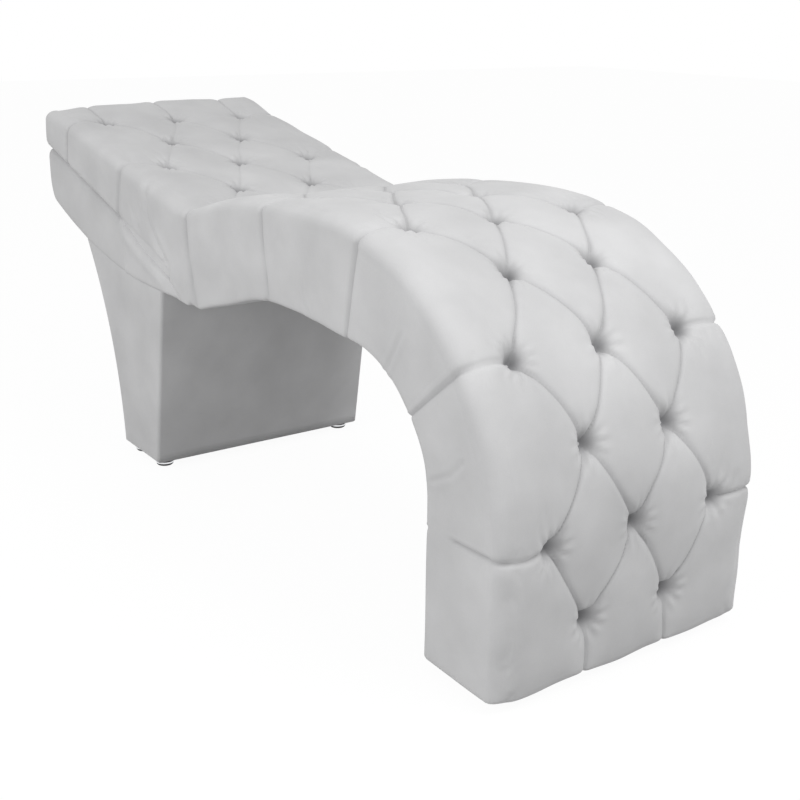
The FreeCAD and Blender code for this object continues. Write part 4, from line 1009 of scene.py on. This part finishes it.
def metal_material(name, dark, light, rough_low, rough_high, scale):
    """Plated metal with faint streaks in its gloss."""
    material, tree, shader = new_material(name)
    streaks = noise_of(tree, scale, 4, (1, 1, 6))
    ramp = ramp_of(tree, streaks.outputs["Fac"], 0.3, 0.7, dark, light)
    tree.links.new(ramp.outputs["Color"], shader.inputs["Base Color"])
    gloss = tree.nodes.new("ShaderNodeMapRange")
    gloss.inputs["To Min"].default_value = rough_low
    gloss.inputs["To Max"].default_value = rough_high
    tree.links.new(streaks.outputs["Fac"], gloss.inputs["Value"])
    tree.links.new(gloss.outputs["Result"], shader.inputs["Roughness"])
    shader.inputs["Metallic"].default_value = 1.0
    return material


def matt_material(name, dark, light, rough, scale):
    """Moulded black rubber or plastic with a fine texture."""
    material, tree, shader = new_material(name)
    speckle = noise_of(tree, scale, 3)
    ramp = ramp_of(tree, speckle.outputs["Fac"], 0.35, 0.7, dark, light)
    tree.links.new(ramp.outputs["Color"], shader.inputs["Base Color"])
    bump_of(tree, shader, speckle.outputs["Fac"], 0.25, 0.0004)
    shader.inputs["Roughness"].default_value = rough
    return material


plywood = plywood_material()
zinc = metal_material("zinc_steel", (0.46, 0.47, 0.48, 1), (0.60, 0.61, 0.63, 1), 0.30, 0.48, 120)
chrome = metal_material("bright_chrome", (0.74, 0.74, 0.76, 1), (0.83, 0.83, 0.85, 1), 0.06, 0.16, 60)
rubber = matt_material("bumper_rubber", (0.020, 0.020, 0.020, 1), (0.045, 0.045, 0.045, 1), 0.75, 500)
sole_black = matt_material("sole_black", (0.014, 0.014, 0.014, 1), (0.030, 0.030, 0.030, 1), 0.5, 700)


def finish_of(node):
    """The finish of a CAD node that stays."""
    if node.endswith("_cup"):
        return chrome
    if node.endswith("_sole"):
        return sole_black
    if node == "rest_bumpers":
        return rubber
    if any(word in node for word in ("hinge", "pawl", "screws", "tee_nuts")):
        return zinc
    return plywood


for node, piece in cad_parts.items():
    piece.data.materials.clear()
    piece.data.materials.append(finish_of(node))
print("finished nodes", len(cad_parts))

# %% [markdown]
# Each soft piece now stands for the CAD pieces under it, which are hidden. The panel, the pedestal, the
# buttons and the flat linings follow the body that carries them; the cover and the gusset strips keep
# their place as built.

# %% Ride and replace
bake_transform(cover)
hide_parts("wave_pad", "backrest_pad", "fold_foam", "side_cover_near", "side_cover_far",
            "arch_lining", "backrest_back_cover")
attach(panel, "base")
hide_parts("shelf_cover")
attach(pedestal, "base")
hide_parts("pedestal_cover")
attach(seat_buttons, "base")
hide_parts("wave_buttons")
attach(back_buttons, "backrest")
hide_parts("backrest_buttons")
for piece, node in ((gusset_near, "fold_gusset_near"), (gusset_far, "fold_gusset_far")):
    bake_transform(piece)
    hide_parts(node)
for piece in fold_linings:
    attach(piece, "base")

# %% [markdown]
# The studio is plain: a pale floor that runs off on all sides, a soft light high up beyond the foot end
# and a wider one from the near side. The camera sees the floor and the world as white, and the floor
# keeps a faint shadow.

# %% Studio floor
FLOOR_HALF = 14
FLOOR_GREY = (0.55, 0.55, 0.55, 1)
FLOOR_GLOW = 1.06
GLOW_SHARE = 0.90


def seen_rays(tree):
    """1 for rays from the camera or off a glossy surface, 0 for the others."""
    path = tree.nodes.new("ShaderNodeLightPath")
    seen = tree.nodes.new("ShaderNodeMath")
    seen.operation = "MAXIMUM"
    tree.links.new(path.outputs["Is Camera Ray"], seen.inputs[0])
    tree.links.new(path.outputs["Is Glossy Ray"], seen.inputs[1])
    return seen.outputs[0]


shape = bmesh.new()
bmesh.ops.create_grid(shape, x_segments=1, y_segments=1, size=FLOOR_HALF)
floor = add_piece("studio_floor", shape, smooth=False)
floor_material, tree, shader = new_material("studio_white")
shader.inputs["Base Color"].default_value = FLOOR_GREY
shader.inputs["Roughness"].default_value = 0.9
shader.inputs["Specular IOR Level"].default_value = 0.0
glow = tree.nodes.new("ShaderNodeEmission")
glow.inputs["Strength"].default_value = FLOOR_GLOW
part_seen = tree.nodes.new("ShaderNodeMath")
part_seen.operation = "MULTIPLY"
part_seen.inputs[1].default_value = GLOW_SHARE
tree.links.new(seen_rays(tree), part_seen.inputs[0])
mixed_floor = tree.nodes.new("ShaderNodeMixShader")
tree.links.new(part_seen.outputs[0], mixed_floor.inputs[0])
tree.links.new(shader.outputs[0], mixed_floor.inputs[1])
tree.links.new(glow.outputs[0], mixed_floor.inputs[2])
tree.links.new(mixed_floor.outputs[0], tree.nodes["Material Output"].inputs["Surface"])
floor.data.materials.append(floor_material)

# %% Studio world
WORLD_LIGHT = 0.55
world = bpy.data.worlds.new("studio_world")
world.use_nodes = True
bpy.context.scene.world = world
tree = world.node_tree
sky = tree.nodes["Background"]
sky.inputs["Color"].default_value = (1, 1, 1, 1)
level = tree.nodes.new("ShaderNodeMapRange")
level.inputs["To Min"].default_value = WORLD_LIGHT
level.inputs["To Max"].default_value = 1.0
tree.links.new(seen_rays(tree), level.inputs["Value"])
tree.links.new(level.outputs["Result"], sky.inputs["Strength"])
print("world light", WORLD_LIGHT)


# %% Studio lights
def lamp(name, spot, target, size, watts):
    """A square soft light."""
    light = bpy.data.lights.new(name, "AREA")
    light.size = size
    light.energy = watts
    piece = bpy.data.objects.new(name, light)
    piece.location = spot
    piece.rotation_euler = (Vector(target) - Vector(spot)).to_track_quat("-Z", "Y").to_euler()
    bpy.context.scene.collection.objects.link(piece)
    return piece


lamp("top_light", (1.9, 0.5, 2.3), (0.4, 0, 0.5), 1.2, 27)
lamp("side_light", (0.5, -3.4, 2.0), (0.3, 0, 0.3), 1.8, 50)
bpy.context.scene.view_settings.view_transform = "Standard"
print("studio ready")
